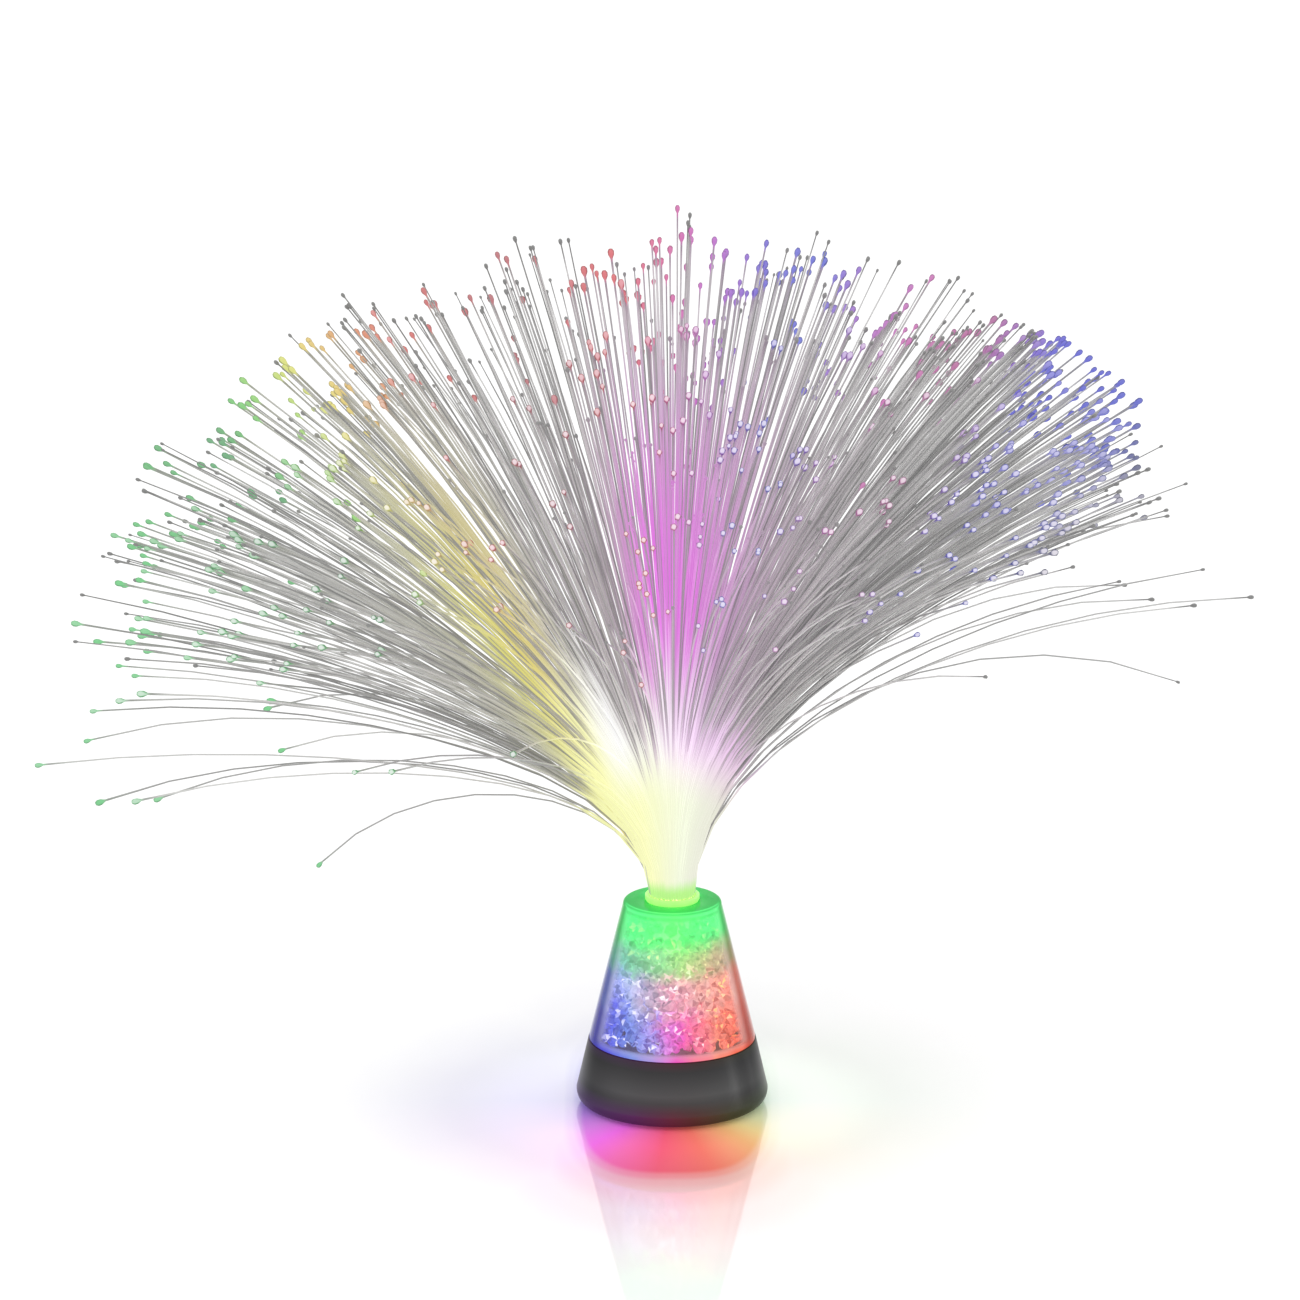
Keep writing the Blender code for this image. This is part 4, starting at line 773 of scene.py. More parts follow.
HOUSING_STEPS = 128
WIDEST_HEIGHT = 0.0055
BASE_TAPER = 0.0044
DECK_TOP = 0.0246
DECK_THICKNESS = 0.0020
FLARE = 0.0034
LIP_WALL = 0.0008
INNER_FLARE_FOOT = 0.0033
SPIGOT_WALL = 0.0010
SPIGOT_GAP = 0.0003
FIBRE_LED_HOLE = 0.0028
# Screw posts under the deck: where they stand, and their radius and foot
PLATE_POST_X, PLATE_POST_Y, PLATE_POST = 0.02255, 0.0100, (0.0026, 0.0036)
BOARD_POST_RING, BOARD_POST_TURNS, BOARD_POST = 0.0165, (90, 210, 330), (0.0024, 0.0193)
SCREW_BORE, SCREW_DEPTH = 0.0013, 0.0090
LED_RING, LED_TURNS, LED_HOLE = 0.0155, (270, 30, 150), 0.0018
# How far a cutting tool stands out of what it cuts
TOOL_OVERLAP = 0.0010
POST_SIDES = 32


class LAMP_OT_housing(bpy.types.Operator):
    """Model the housing: rounded-under rim, tapered wall, deck with its holes, spigot and screw bosses"""

    bl_idname = "lamp.housing"
    bl_label = "Housing"

    def execute(self, context):
        sizes = context.scene.lamp_sizes
        widest, foot = house_high.x, house_low.z
        rim, top = widest - FLARE, widest - BASE_TAPER
        lip, inner = rim - LIP_WALL, widest - sizes.housing_wall
        spigot = cone_inner_radius(house_high.z, sizes.cone_wall) - SPIGOT_GAP
        quarter = math.radians(90)
        deck_bottom, deck_middle = DECK_TOP - DECK_THICKNESS, DECK_TOP - DECK_THICKNESS / 2
        profile = arc((rim, WIDEST_HEIGHT), (FLARE, WIDEST_HEIGHT - foot), -quarter, 0, 14)
        profile += [
            (top, DECK_TOP), (spigot, DECK_TOP), (spigot, house_high.z), (spigot - SPIGOT_WALL, house_high.z),
            (spigot - SPIGOT_WALL, DECK_TOP), (FIBRE_LED_HOLE, DECK_TOP), (FIBRE_LED_HOLE, deck_bottom),
            (top - sizes.housing_wall, deck_bottom)]
        profile += arc((lip, WIDEST_HEIGHT), (inner - lip, WIDEST_HEIGHT - INNER_FLARE_FOOT), 0, -quarter, 6)
        profile += [(lip, foot)]
        piece = spun("housing_shell", profile, HOUSING_STEPS)
        corners = [(x, y) for x in (-PLATE_POST_X, PLATE_POST_X) for y in (-PLATE_POST_Y, PLATE_POST_Y)]
        posts = [(corner, *PLATE_POST) for corner in corners]
        posts += [(round_place(BOARD_POST_RING, turn), *BOARD_POST) for turn in BOARD_POST_TURNS]
        for post in posts:
            add_cylinder(*post, deck_middle)
            join_boolean(piece, "UNION")
        for place, _, bottom in posts:
            add_cylinder(place, SCREW_BORE, bottom - TOOL_OVERLAP, min(bottom + SCREW_DEPTH, deck_middle))
            join_boolean(piece, "DIFFERENCE")
        for turn in LED_TURNS:
            place = round_place(LED_RING, turn)
            add_cylinder(place, LED_HOLE, deck_bottom - TOOL_OVERLAP, DECK_TOP + TOOL_OVERLAP)
            join_boolean(piece, "DIFFERENCE")
        round_edges(piece, sizes.edge_round)
        material = satin_black_abs(context.scene.lamp_colours.housing)
        finish_piece(piece, material, "lamp_base", "black_housing", "base_housing")
        return {"FINISHED"}


def cone_inner_radius(height, wall):
    """Inner radius of the clear cone at a height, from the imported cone's box."""
    share = (height - cone_low.z) / (cone_high.z - cone_low.z)
    return cone_high.x - wall + (CONE_TOP_RADIUS - cone_high.x) * share


def add_cylinder(place, radius, bottom, top):
    """Add an upright cylinder and leave it active."""
    deselect()
    bpy.ops.mesh.primitive_cylinder_add(
        vertices=POST_SIDES, radius=radius, depth=top - bottom, location=(*place, (top + bottom) / 2))


def join_boolean(piece, operation):
    """Join the active tool to a piece or cut it away, and remove the tool."""
    tool = bpy.context.active_object
    apply_modifier(piece, "BOOLEAN", object=tool, operation=operation, solver="EXACT")
    bpy.data.objects.remove(tool)


class LAMP_OT_underside(bpy.types.Operator):
    """Finish the base plate, the battery door, their screws, the feet and the switch's knob"""

    bl_idname = "lamp.underside"
    bl_label = "Underside"

    def execute(self, context):
        dress(spark_textured_abs(context.scene.lamp_colours.underside), "base_plate", "battery_door")
        dress(foot_rubber(), *numbered("rubber_foot", 4))
        zinc = drawn_metal("zinc_plated_steel", "#9A9C9E", "#C4C6C8", (0.22, 0.34), (1.0, 1.0, 1.0), 0.5)
        dress(zinc, "door_screw", *numbered("plate_screw", 4), *numbered("board_screw", 3))
        dress(small_moulding("white_acetal", "#CFCFC8", "#DEDED8", (0.35, 0.45)), "switch_knob")
        return {"FINISHED"}


CELL_STEPS = 48
CELL_EDGE = 0.0004
# Radius and height of the nub at the cell's positive end
CELL_NUB = (0.0019, 0.0010)


class LAMP_OT_battery_bay(bpy.types.Operator):
    """Finish the cells, their contacts and their springs"""

    bl_idname = "lamp.battery_bay"
    bl_label = "Battery bay"

    def execute(self, context):
        sleeve = printed_cell_sleeve()
        nub, nub_height = CELL_NUB
        for number, node in enumerate(numbered("battery_cell", 3), 1):
            low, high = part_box(node)
            radius, length, end = (high.x - low.x) / 2, high.y - low.y, -1 if number % 2 else 1
            shoulder = length - nub_height
            profile = [(0, 0), (radius, 0), (radius, shoulder), (nub, shoulder), (nub, length), (0, length)]
            cell = spun(f"cell_{number}", profile, CELL_STEPS, closed=False)
            round_edges(cell, CELL_EDGE, 3)
            cell.rotation_euler = (math.radians(90) * end, 0, 0)
            cell.location = ((low.x + high.x) / 2, high.y if end > 0 else low.y, (low.z + high.z) / 2)
            bpy.ops.object.transform_apply(location=True, rotation=True, scale=True)
            finish_piece(cell, sleeve, "lamp_base", "cell_sleeve", node)
        nickel = drawn_metal("nickel_plated_strip", "#A8A49A", "#CCC8BE", (0.18, 0.30), (1.0, 1.0, 0.1), 0.25)
        dress(nickel, "link_contact_back", "link_contact_front", "negative_terminal", "positive_terminal")
        spring = drawn_metal("drawn_spring_wire", "#8E9092", "#BFC1C3", (0.20, 0.32), (1.0, 1.0, 1.0), 0.3)
        dress(spring, *numbered("battery_spring", 3))
        return {"FINISHED"}


class LAMP_OT_electronics(bpy.types.Operator):
    """Finish the circuit board, what it carries, the leads and the switch"""

    bl_idname = "lamp.electronics"
    bl_label = "Electronics"

    def execute(self, context):
        dress(solder_resist(), "circuit_board")
        dress(small_moulding("moulded_epoxy", "#161616", "#222222", (0.45, 0.55)), "controller_chip")
        dress(banded_lacquer(), *numbered("resistor", 2))
        dress(small_moulding("sleeved_can", "#2C3038", "#3C414C", (0.25, 0.35)), "capacitor")
        dress(lit_epoxy("lit_epoxy_white", "#F4FFD8", 3.0), "fibre_led")
        dress(lit_epoxy("lit_epoxy_magenta", "#FF40C0", 3.0), "crystal_led_1")
        dress(lit_epoxy("lit_epoxy_red", "#FF5030", 3.0), "crystal_led_2")
        dress(lit_epoxy("lit_epoxy_blue", "#4048FF", 3.0), "crystal_led_3")
        dress(
            small_moulding("red_vinyl", "#A81E18", "#C02A22", (0.40, 0.50)), "battery_lead_positive",
            *numbered("switch_lead", 2))
        dress(small_moulding("black_vinyl", "#17171A", "#222226", (0.40, 0.50)), "battery_lead_negative")
        tin = drawn_metal("tinned_steel", "#A4A6A8", "#C6C8CA", (0.24, 0.36), (1.0, 0.1, 1.0), 0.3)
        dress(tin, "switch_body")
        return {"FINISHED"}


CONE_STEPS = 128
CONE_TOP_RADIUS = 0.0176
CONE_TOP_THICKNESS = 0.0020
CONE_TOP_EDGE = 0.0014
TUBE_WALL = 0.0010


class LAMP_OT_cone(bpy.types.Operator):
    """Model the clear cone, a thin tapered shell with a round shoulder and a socket, and its inner tube"""

    bl_idname = "lamp.cone"
    bl_label = "Clear cone"

    def execute(self, context):
        sizes = context.scene.lamp_sizes
        bottom, top, outer, edge = cone_low.z, cone_high.z, cone_high.x, CONE_TOP_EDGE
        slope = (outer - CONE_TOP_RADIUS) / (top - bottom)
        shoulder = CONE_TOP_RADIUS + slope * edge
        socket = tube_high.x - TUBE_WALL
        ceiling = top - CONE_TOP_THICKNESS
        profile = [(outer - sizes.cone_wall, bottom), (outer, bottom)]
        profile += arc((shoulder - edge, top - edge), (edge, edge), 0, math.radians(90), 8)
        profile += [(socket, top), (socket, ceiling), (CONE_TOP_RADIUS - sizes.cone_wall, ceiling)]
        piece = spun("cone_shell", profile, CONE_STEPS)
        round_edges(piece, sizes.edge_round)
        finish_piece(piece, clear_acrylic(), "lamp_base", "clear_acrylic", "clear_cone")

        outer, low, high = tube_high.x, tube_low.z, tube_high.z
        tube = spun("inner_tube", [(socket, low), (outer, low), (outer, high), (socket, high)], CONE_STEPS)
        round_edges(tube, sizes.edge_round, 1)
        finish_piece(tube, glowing_tube(), "lamp_base", "clear_acrylic", "light_tube")
        return {"FINISHED"}


CRYSTAL_SEED = 11
CRYSTAL_TOP_SHARE = 0.95
# How many crystals lie against the cone's wall, and how far the flats of one are from its middle
WALL_SHARE = 0.62
FLAT_DISTANCE = 0.72
CRYSTAL_FLATS = ((0.3, 0.8, 0.5), (-0.9, -0.2, 0.3), (0.5, -0.7, -0.5))
# Least distance of two crystals as a share of their half widths, and their room from the housing's spigot
CRYSTAL_SPACING = 0.66
SPIGOT_ROOM = 0.0013
CRYSTAL_TRIES = 12
CRYSTAL_SPREAD = (0.7, 1.15)
CRYSTAL_FLOOR_GAP = 0.3 * MM
# As shares of a crystal's half width: how far its outer corner is above its middle, and how far above the
# spigot's top one still keeps clear of it
CORNER_RISE, SPIGOT_REACH = 0.3, 0.6


def crystal_template():
    """One tumbled crystal: a rough ball with flats cut across it."""
    deselect()
    bpy.ops.mesh.primitive_ico_sphere_add(subdivisions=1, radius=1.0)
    piece = bpy.context.active_object
    bpy.ops.object.mode_set(mode="EDIT")
    for normal in CRYSTAL_FLATS:
        bpy.ops.mesh.select_all(action="SELECT")
        flat = Vector(normal).normalized()
        bpy.ops.mesh.bisect(plane_co=flat * FLAT_DISTANCE, plane_no=flat, use_fill=True, clear_outer=True)
    bpy.ops.mesh.select_all(action="SELECT")
    bpy.ops.mesh.normals_make_consistent(inside=False)
    bpy.ops.object.mode_set(mode="OBJECT")
    return take_mesh(piece)


def crystal_places(sizes, chance):
    """Centres and sizes of crystals poured round the tube, clear of both walls and of each other."""
    places = []
    floor = DECK_TOP + CRYSTAL_FLOOR_GAP
    ceiling = cone_low.z + (cone_high.z - cone_low.z) * CRYSTAL_TOP_SHARE
    for _ in range(sizes.crystal_count * CRYSTAL_TRIES):
        if len(places) >= sizes.crystal_count:
            break
        half = sizes.crystal_size * chance.uniform(*CRYSTAL_SPREAD)
        height = chance.uniform(floor + half, ceiling - half)
        inner = tube_high.x + half
        outer = cone_inner_radius(height + CORNER_RISE * half, sizes.cone_wall) - FLAT_DISTANCE * half
        if height < house_high.z + SPIGOT_REACH * half:
            outer -= SPIGOT_ROOM
        if outer < inner:
            continue
        radius = outer if chance.random() < WALL_SHARE else math.sqrt(chance.uniform(inner ** 2, outer ** 2))
        turn = chance.uniform(0, math.tau)
        centre = Vector((radius * math.cos(turn), radius * math.sin(turn), height))
        if all((centre - other).length > CRYSTAL_SPACING * (half + size) for other, size in places):
            places.append((centre, half))
    return places


class LAMP_OT_crystals(bpy.types.Operator):
    """Pour the cut crystals into the cone"""

    bl_idname = "lamp.crystals"
    bl_label = "Crystals"

    def execute(self, context):
        chance = random.Random(CRYSTAL_SEED)
        shape, shape_faces = crystal_template()
        points, faces, light = [], [], []
        for centre, half in crystal_places(context.scene.lamp_sizes, chance):
            angle = chance.uniform(0, math.tau)
            spin = Matrix.Rotation(angle, 3, Vector([chance.gauss(0, 1) for _ in range(3)]).normalized())
            stretch = np.array([chance.uniform(0.75, 1.0), chance.uniform(0.75, 1.0), 1.0]) * half
            first = len(points)
            points += [tuple(point) for point in (shape * stretch) @ np.array(spin).T + np.array(centre)]
            faces += [[first + corner for corner in face] for face in shape_faces]
            own = chance.random()
            light += [0.2 * own + 0.8 * chance.random() for _ in shape_faces]
        piece = mesh_piece("crystal_fill", points, faces)
        piece.data.attributes.new("facet_light", "FLOAT", "FACE").data.foreach_set("value", light)
        finish_piece(piece, cut_crystal(), "lamp_base", "clear_crystal", *numbered("crystal_layer", 4))
        return {"FINISHED"}


RING_STEPS = 96
COLLAR_HEIGHT = 0.0018
COLLAR_BORE = 0.0085
COLLAR_LEDGE = 0.0006
POTTING_RADIUS, POTTING_TOP_RADIUS = 0.0082, 0.0076
POTTING_CHAMFER = 0.0006
POTTING_RISE = 0.0004
# Depth of the fibres' roots in the potting
ROOT_DEPTH = 0.0003
BUNDLE_RADIUS = 0.0082
SLICE_GAP = 0.0003
SLICE_ROWS = 6
SPRAY_SEED = 2830
COMPANION_SEED = 5
LEFT_LEAN_POWER, RIGHT_LEAN_POWER = 1.10, 0.46
LENGTH_SPREAD = 0.13
LEFT_SAG = math.radians(7)
STRAY_LEAN, STRAY_CHANCE, STRAY_ROOT = 0.36, 0.18, 0.96
# How much the fibres of the solids differ in turn, lean and droop
TURN_SPREAD, LEAN_SPREAD, DROOP_SPREAD = 0.16, 0.035, 0.22
# Companions: offset of their roots in millimetres, and the spread and share of the close and the loose ones
COMPANION_OFFSET = 0.4
CLOSE_SPREAD, LOOSE_SPREAD, LOOSE_CHANCE = 1.0, 5.0, 0.08
# Their length: at most, how much it varies, and how often and how far some end early
LONGEST, LENGTH_DRIFT, SHORT_CHANCE, SHORT_SHARE = 1.03, 0.05, 0.16, 0.30
# Their droop as a share, how far they sway sideways, and the least reach that their turn is divided by
COMPANION_DROOP, SWAY, INNERMOST = (0.85, 1.15), 0.03, 0.3
# Tufts that reach further, by their angle to the right
FAR_TUFTS, FAR_SHARE = (32, 44), 1.05
# Sizes of the ball ends, lit and unlit
LIT_BALL, PLAIN_BALL = (0.75, 1.15), (0.45, 0.75)
# Fibres at the bundle's left and right edge, of which some stay grey at the root
EDGE_ROOT, EDGE_SIDE, GREY_CHANCE = 0.88, 0.96, 0.6
# The longest fibres left of this angle are lit less often
FULL_LENGTH, LONG_LIT_END, LONG_LIT_SHARE = 0.97, 32, 0.4
# How quickly the painted white highlight grows on a ball end that faces the front
FRONT_GAIN = 1.6
# How full the tufts are and how often a tip is lit, by the angle of lean to the right in degrees
TUFT_FULLNESS = [
    (-70, 1.2), (-45, 1.2), (-28, 1.3), (-22, 0.4), (-11, 0.4), (-5, 1.3), (12, 1.3), (24, 1.0), (34, 1.5),
    (48, 1.3)]
LIT_CHANCES = [
    (-45, 0.85), (-26, 0.85), (-22, 0.45), (-10, 0.5), (-5, 0.9), (14, 0.9), (19, 0.5), (31, 0.6), (33, 0.97),
    (44, 0.95), (47, 0.2), (60, 0.0)]
# Angles low in the bundle are taken from a point this far below its root
ROOT_DROP = 0.020
STRAND_SIDES = 5
SHAFT_RINGS = 11
# How the rings of the shaft crowd towards its root
SHAFT_CROWDING = 1.25
# Rings of the ball end: their place along it and their width, as shares of its radius, with a least radius
BALL_RINGS = [(-2.2, 0.34), (-1.0, 0.92), (0.0, 0.98), (0.7, 0.55), (0.85, 0.0)]
LEAST_RADIUS = 0.01 * MM
PATH_STEPS = 40

# Strays at the fan's edges: turn and lean in degrees, droop in degrees, share of the full length
STRAYS = [
    (182, 82, 57, 0.585), (186, 76, 36, 0.813), (177, 82, 30, 0.894), (184, 70, 36, 0.927),
    (174, 56, 57, 0.699), (180, 64, 48, 0.650), (188, 80, 15, 0.976), (-2, 60, 54, 0.878), (4, 58, 36, 0.862),
    (-6, 64, 21, 0.911), (2, 50, 45, 0.846), (7, 50, 36, 0.943), (-20, 32, 0, 0.205), (-30, 44, 0, 0.140)]


class LAMP_OT_collar(bpy.types.Operator):
    """Model the glowing collar with its sleeve, and the potted end of the bundle inside it"""

    bl_idname = "lamp.collar"
    bl_label = "Collar"

    def execute(self, context):
        sizes = context.scene.lamp_sizes
        low, high = ferrule_low.z, ferrule_high.z
        collar = high - COLLAR_HEIGHT
        sleeve, outer = ferrule_high.x - COLLAR_LEDGE, ferrule_high.x
        profile = [
            (COLLAR_BORE, low), (sleeve, low), (sleeve, collar), (outer, collar), (outer, high),
            (COLLAR_BORE, high)]
        piece = spun("spray_collar", profile, RING_STEPS)
        round_edges(piece, sizes.edge_round, 3)
        material = frosted_collar(context.scene.lamp_colours.collar)
        finish_piece(piece, material, "fibre_spray", "frosted_collar", "spray_ferrule")
        top = potting_top()
        profile = [
            (0, low), (POTTING_RADIUS, low), (POTTING_RADIUS, top - POTTING_CHAMFER),
            (POTTING_TOP_RADIUS, top), (0, top)]
        potting = spun("potted_bundle", profile, RING_STEPS, closed=False)
        round_edges(potting, sizes.edge_round, 1)
        finish_piece(potting, potted_ends(), "fibre_spray", "light_fibre")
        return {"FINISHED"}


def potting_top():
    """Height of the bundle's potted end, a little above the collar."""
    return ferrule_high.z + POTTING_RISE


def strand_template(sizes):
    """One straight fibre: a thin round shaft that ends in a small fused ball."""
    deselect()
    bpy.ops.mesh.primitive_circle_add(vertices=STRAND_SIDES, radius=sizes.fibre_radius, location=(0, 0, 0))
    piece = bpy.context.active_object
    ball_start = sizes.fibre_length + BALL_RINGS[0][0] * sizes.tip_radius
    heights = [ball_start * (ring / SHAFT_RINGS) ** SHAFT_CROWDING for ring in range(1, SHAFT_RINGS)]
    rings = [(height, sizes.fibre_radius) for height in heights]
    for along, width in BALL_RINGS:
        radius = max(width * sizes.tip_radius, LEAST_RADIUS)
        rings.append((sizes.fibre_length + along * sizes.tip_radius, radius))
    bpy.ops.object.mode_set(mode="EDIT")
    bpy.ops.mesh.select_all(action="SELECT")
    height, radius = 0.0, sizes.fibre_radius
    for next_height, next_radius in rings:
        bpy.ops.mesh.extrude_region_move(TRANSFORM_OT_translate={"value": (0, 0, next_height - height)})
        bpy.ops.transform.resize(value=(next_radius / radius, next_radius / radius, 1))
        height, radius = next_height, next_radius
    bpy.ops.mesh.merge(type="CENTER")
    bpy.ops.mesh.select_all(action="SELECT")
    bpy.ops.mesh.normals_make_consistent(inside=False)
    bpy.ops.object.mode_set(mode="OBJECT")
    return *take_mesh(piece), ball_start


def between_sides(turn, left, right):
    """A value that goes over from the left side's to the right side's round the bundle."""
    return (left + right) / 2 + (right - left) / 2 * math.cos(turn)


def edge_lean(sizes, turn):
    """How far the outermost fibre leans, more to the sides than to the front and back."""
    side = sizes.right_lean if math.cos(turn) > 0 else sizes.left_lean
    return 1 / math.hypot(math.cos(turn) / side, math.sin(turn) / sizes.front_lean)


def strand_path(root, turn, lean, droop, length, bend, sway):
    """Distances, centres and headings along one fibre that leans out and then droops."""
    step = length / PATH_STEPS
    distances = (np.arange(PATH_STEPS) + 0.5) * step
    angles = lean * (1 - np.exp(-distances / bend)) + droop * (distances / length) ** 2
    out = np.array([math.cos(turn), math.sin(turn), 0.0])
    across = np.array([-math.sin(turn), math.cos(turn), 0.0])
    headings = np.sin(angles)[:, None] * out + np.cos(angles)[:, None] * np.array([0.0, 0.0, 1.0])
    headings = headings + across * (sway * (distances / length))[:, None]
    headings /= np.linalg.norm(headings, axis=1)[:, None]
    centres = np.vstack([root, root + np.cumsum(headings * step, axis=0)])
    return np.arange(PATH_STEPS + 1) * step, centres, across


def lay_strand(template, path, length, full_length, ball_start, ball_size):
    """Bend the straight fibre along its path, keeping its ball round."""
    distances, centres, across = path
    height = template[:, 2]
    in_ball = height > ball_start
    shaft_end = length - (full_length - ball_start) * ball_size
    along = np.where(in_ball, length - (full_length - height) * ball_size, height * shaft_end / ball_start)
    width = np.where(in_ball, ball_size, 1.0)[:, None]
    inside = np.minimum(along, length)
    step = length / PATH_STEPS

    def on_path(distance):
        return np.stack([np.interp(distance, distances, centres[:, axis]) for axis in range(3)], axis=1)

    heading = on_path(np.minimum(inside + step, length)) - on_path(np.maximum(inside - step, 0))
    heading /= np.linalg.norm(heading, axis=1)[:, None]
    second = across - heading * (heading @ across)[:, None]
    second /= np.linalg.norm(second, axis=1)[:, None]
    third = np.cross(second, heading)
    points = on_path(inside) + heading * (along - inside)[:, None]
    return points + third * template[:, :1] * width + second * template[:, 1:2] * width, along / length


def bundle_cells(slice_turn):
    """Row and middle of each fibre's place in one slice of the potted bundle, as the solids have them."""
    half_turn = math.pi / SLICES
    shift = SLICE_GAP / 2 / math.sin(half_turn)
    row_step = (BUNDLE_RADIUS - shift) / SLICE_ROWS

    def corner(row, step):
        turn = slice_turn - half_turn + 2 * half_turn * step / max(row, 1)
        waves = (math.cos, math.sin)
        return np.array([shift * wave(slice_turn) + row * row_step * wave(turn) for wave in waves])

    cells = []
    for row in range(SLICE_ROWS):
        for step in range(row + 1):
            cells.append((row, (corner(row, step) + corner(row + 1, step) + corner(row + 1, step + 1)) / 3))
        for step in range(row):
            cells.append((row, (corner(row, step) + corner(row + 1, step + 1) + corner(row, step + 1)) / 3))
    return cells


def fibre_list(sizes):
    """Each fibre's slice, root, turn, lean, droop, length and sway: those of the solids, their companions in
    loose tufts, and then the strays."""
    chance, extra = random.Random(SPRAY_SEED), random.Random(COMPANION_SEED)
    fibres = []
    for number in range(SLICES):
        for row, (x, y) in bundle_cells(math.tau * number / SLICES):
            around, reach = math.atan2(y, x), math.hypot(x, y) / BUNDLE_RADIUS
            turn = around + chance.uniform(-1, 1) * TURN_SPREAD * math.tau / SLICES / (2 * row + 1)
            power = between_sides(around, LEFT_LEAN_POWER, RIGHT_LEAN_POWER)
            lean = edge_lean(sizes, around) * reach ** power * (1 + chance.uniform(-1, 1) * LEAN_SPREAD)
            stray = row == SLICE_ROWS - 1 and chance.random() < STRAY_CHANCE
            lean *= 1 + STRAY_LEAN * stray * chance.random()
            droop = sizes.droop * math.sin(lean) * (1 + chance.uniform(-1, 1) * DROOP_SPREAD)
            length = sizes.fibre_length * (1 - chance.random() * LENGTH_SPREAD)
            fibres.append((number, (x, y), turn, lean, droop, length, 0.0))
            sideways = math.degrees(lean) * math.cos(turn)
            fullness = sizes.tuft_size * np.interp(sideways, *zip(*TUFT_FULLNESS))
            sag = LEFT_SAG * max(-math.cos(turn), 0.0) ** 3 * reach ** 4
            for _ in range(0 if stray else round(fullness * extra.random() ** 1.2)):
                spread = math.radians(LOOSE_SPREAD if extra.random() < LOOSE_CHANCE else CLOSE_SPREAD)
                beside = [middle + extra.uniform(-COMPANION_OFFSET, COMPANION_OFFSET) * MM
                          for middle in (x, y)]
                share = LONGEST - LENGTH_DRIFT * extra.random()
                share -= SHORT_SHARE * extra.random() if extra.random() < SHORT_CHANCE else 0
                if FAR_TUFTS[0] < sideways < FAR_TUFTS[1]:
                    share *= FAR_SHARE
                turned = turn + extra.gauss(0, spread) / max(reach, INNERMOST)
                leant = lean + extra.gauss(0, spread) + sag * extra.random()
                drooped = droop * extra.uniform(*COMPANION_DROOP)
                reached = min(length * share, sizes.fibre_length)
                fibres.append((number, beside, turned, leant, drooped, reached, extra.uniform(-SWAY, SWAY)))
    for degrees, lean, droop, share in STRAYS:
        turn = math.radians(degrees)
        number = round(turn * SLICES / math.tau) % SLICES
        root = round_place(STRAY_ROOT * BUNDLE_RADIUS, degrees)
        lean, droop = math.radians(lean), math.radians(droop)
        fibres.append((number, root, turn, lean, droop, sizes.fibre_length * share, 0.0))
    return fibres


def seen_place(points, root_height):
    """Angle in degrees to the right and distance of points from the bundle's root, as the front sees them."""
    height = points[:, 2] - root_height + points[:, 1] * math.tan(VIEW_ELEVATION)
    lowered = height + ROOT_DROP / (1 + (height / ROOT_DROP) ** 2)
    return np.degrees(np.arctan2(points[:, 0], lowered)), np.hypot(points[:, 0], height)


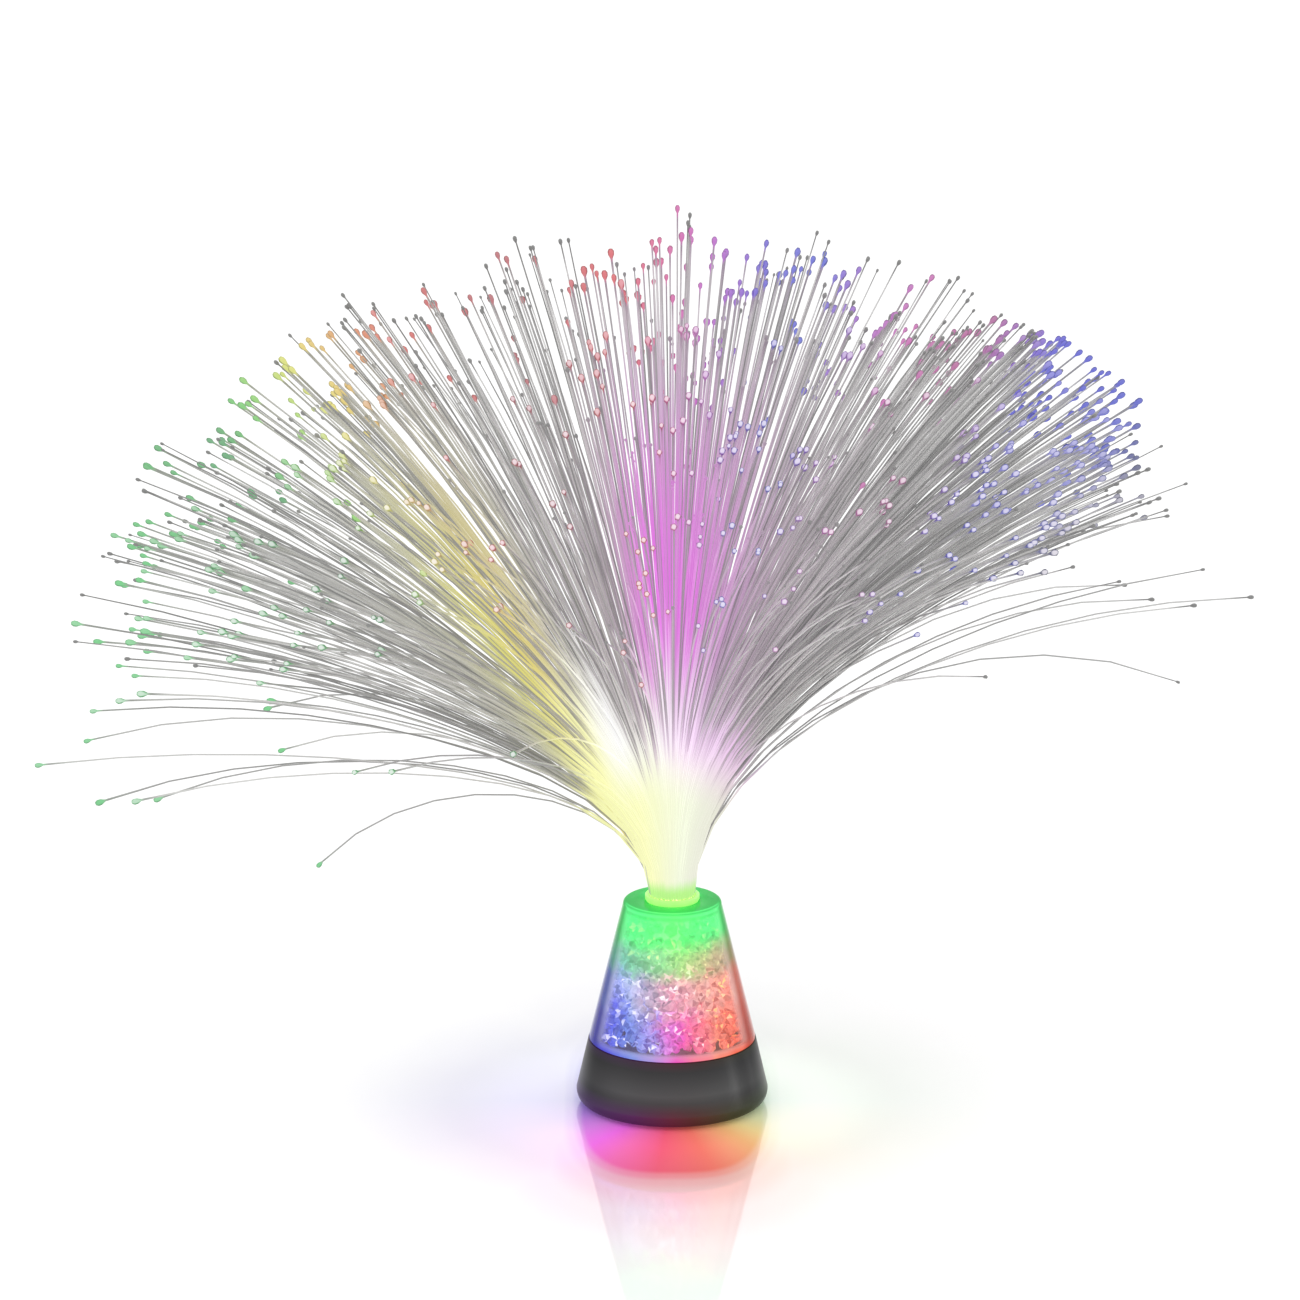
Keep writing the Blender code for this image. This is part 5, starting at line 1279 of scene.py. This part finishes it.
class LAMP_OT_fibres(bpy.types.Operator):
    """Draw every light fibre of the spray out of its slice of the bundle"""

    bl_idname = "lamp.fibres"
    bl_label = "Light fibres"

    def execute(self, context):
        sizes = context.scene.lamp_sizes
        template, template_faces, ball_start = strand_template(sizes)
        material = light_fibre(context.scene.lamp_colours.fibre)
        root_height = potting_top() - ROOT_DEPTH
        fans = [{name: [] for name in ("points", "faces", *FIBRE_NOTES)} for _ in range(SLICES)]
        chance = random.Random(COMPANION_SEED)
        for number, (x, y), turn, lean, droop, length, sway in fibre_list(sizes):
            root = np.array([x, y, root_height])
            bend = between_sides(turn, sizes.left_bend_length, sizes.right_bend_length)
            path = strand_path(root, turn, lean, droop, length, bend, sway)
            tip, heading = path[1][-1], path[1][-1] - path[1][-2]
            edge = math.hypot(x, y) > EDGE_ROOT * BUNDLE_RADIUS and abs(math.cos(turn)) > EDGE_SIDE
            seen = seen_place(tip[None, :], root_height)[0][0]
            lit_chance = np.interp(seen, *zip(*LIT_CHANCES))
            if length > FULL_LENGTH * sizes.fibre_length and seen < LONG_LIT_END:
                lit_chance *= LONG_LIT_SHARE
            lit = chance.random() < lit_chance
            ball_size = chance.uniform(*(LIT_BALL if lit else PLAIN_BALL))
            points, along = lay_strand(template, path, length, sizes.fibre_length, ball_start, ball_size)
            angles, reaches = seen_place(points, root_height)
            # How far the ball end faces the front, which sets its painted white highlight
            front = min(max(-heading[1] / np.linalg.norm(heading), 0.0) * FRONT_GAIN, 1.0)
            notes = (chance.random(), float(lit), float(chance.random() > GREY_CHANCE * edge), front)
            fan = fans[number]
            first = len(fan["along"])
            fan["points"].append(points)
            fan["faces"] += [[first + corner for corner in face] for face in template_faces]
            fan["along"] += list(along)
            fan["fan_place"] += list(fan_share(angles))
            fan["reach"] += list(reaches / sizes.fibre_length)
            for name, value in zip(FIBRE_NOTES[-len(notes):], notes):
                fan[name] += [value] * len(points)
        for number, fan in enumerate(fans, 1):
            piece = mesh_piece(f"fibre_fan_{number}", np.vstack(fan["points"]).tolist(), fan["faces"])
            for name in FIBRE_NOTES:
                piece.data.attributes.new(name, "FLOAT", "POINT").data.foreach_set("value", fan[name])
            piece.data.shade_smooth()
            finish_piece(piece, material, "fibre_spray", "light_fibre", f"fibre_slice_{number}")
        return {"FINISHED"}


class LAMP_PT_panel(bpy.types.Panel):
    """The lamp's pieces, sizes and colours in the sidebar"""

    bl_idname = "LAMP_PT_panel"
    bl_label = "Fibre Optic Lamp"
    bl_space_type = "VIEW_3D"
    bl_region_type = "UI"
    bl_category = "Lamp"

    def draw(self, context):
        for step in STEPS:
            self.layout.operator(step.bl_idname)
        for group in (context.scene.lamp_sizes, context.scene.lamp_colours):
            box = self.layout.box()
            for name in group.__annotations__:
                box.prop(group, name)


STEPS = (
    LAMP_OT_stage, LAMP_OT_housing, LAMP_OT_underside, LAMP_OT_battery_bay, LAMP_OT_electronics, LAMP_OT_cone,
    LAMP_OT_crystals, LAMP_OT_collar, LAMP_OT_fibres)
CLASSES = (LampSizes, LampColours, *STEPS, LAMP_PT_panel)


def register():
    for item in CLASSES:
        bpy.utils.register_class(item)
    bpy.types.Scene.lamp_sizes = PointerProperty(type=LampSizes)
    bpy.types.Scene.lamp_colours = PointerProperty(type=LampColours)


def unregister():
    del bpy.types.Scene.lamp_colours
    del bpy.types.Scene.lamp_sizes
    for item in reversed(CLASSES):
        bpy.utils.unregister_class(item)


def main():
    """Register the lamp's classes and make every piece in order."""
    register()
    bpy.ops.lamp.stage()
    bpy.ops.lamp.housing()
    bpy.ops.lamp.underside()
    bpy.ops.lamp.battery_bay()
    bpy.ops.lamp.electronics()
    bpy.ops.lamp.cone()
    bpy.ops.lamp.crystals()
    bpy.ops.lamp.collar()
    bpy.ops.lamp.fibres()


if __name__ == "__main__":
    main()
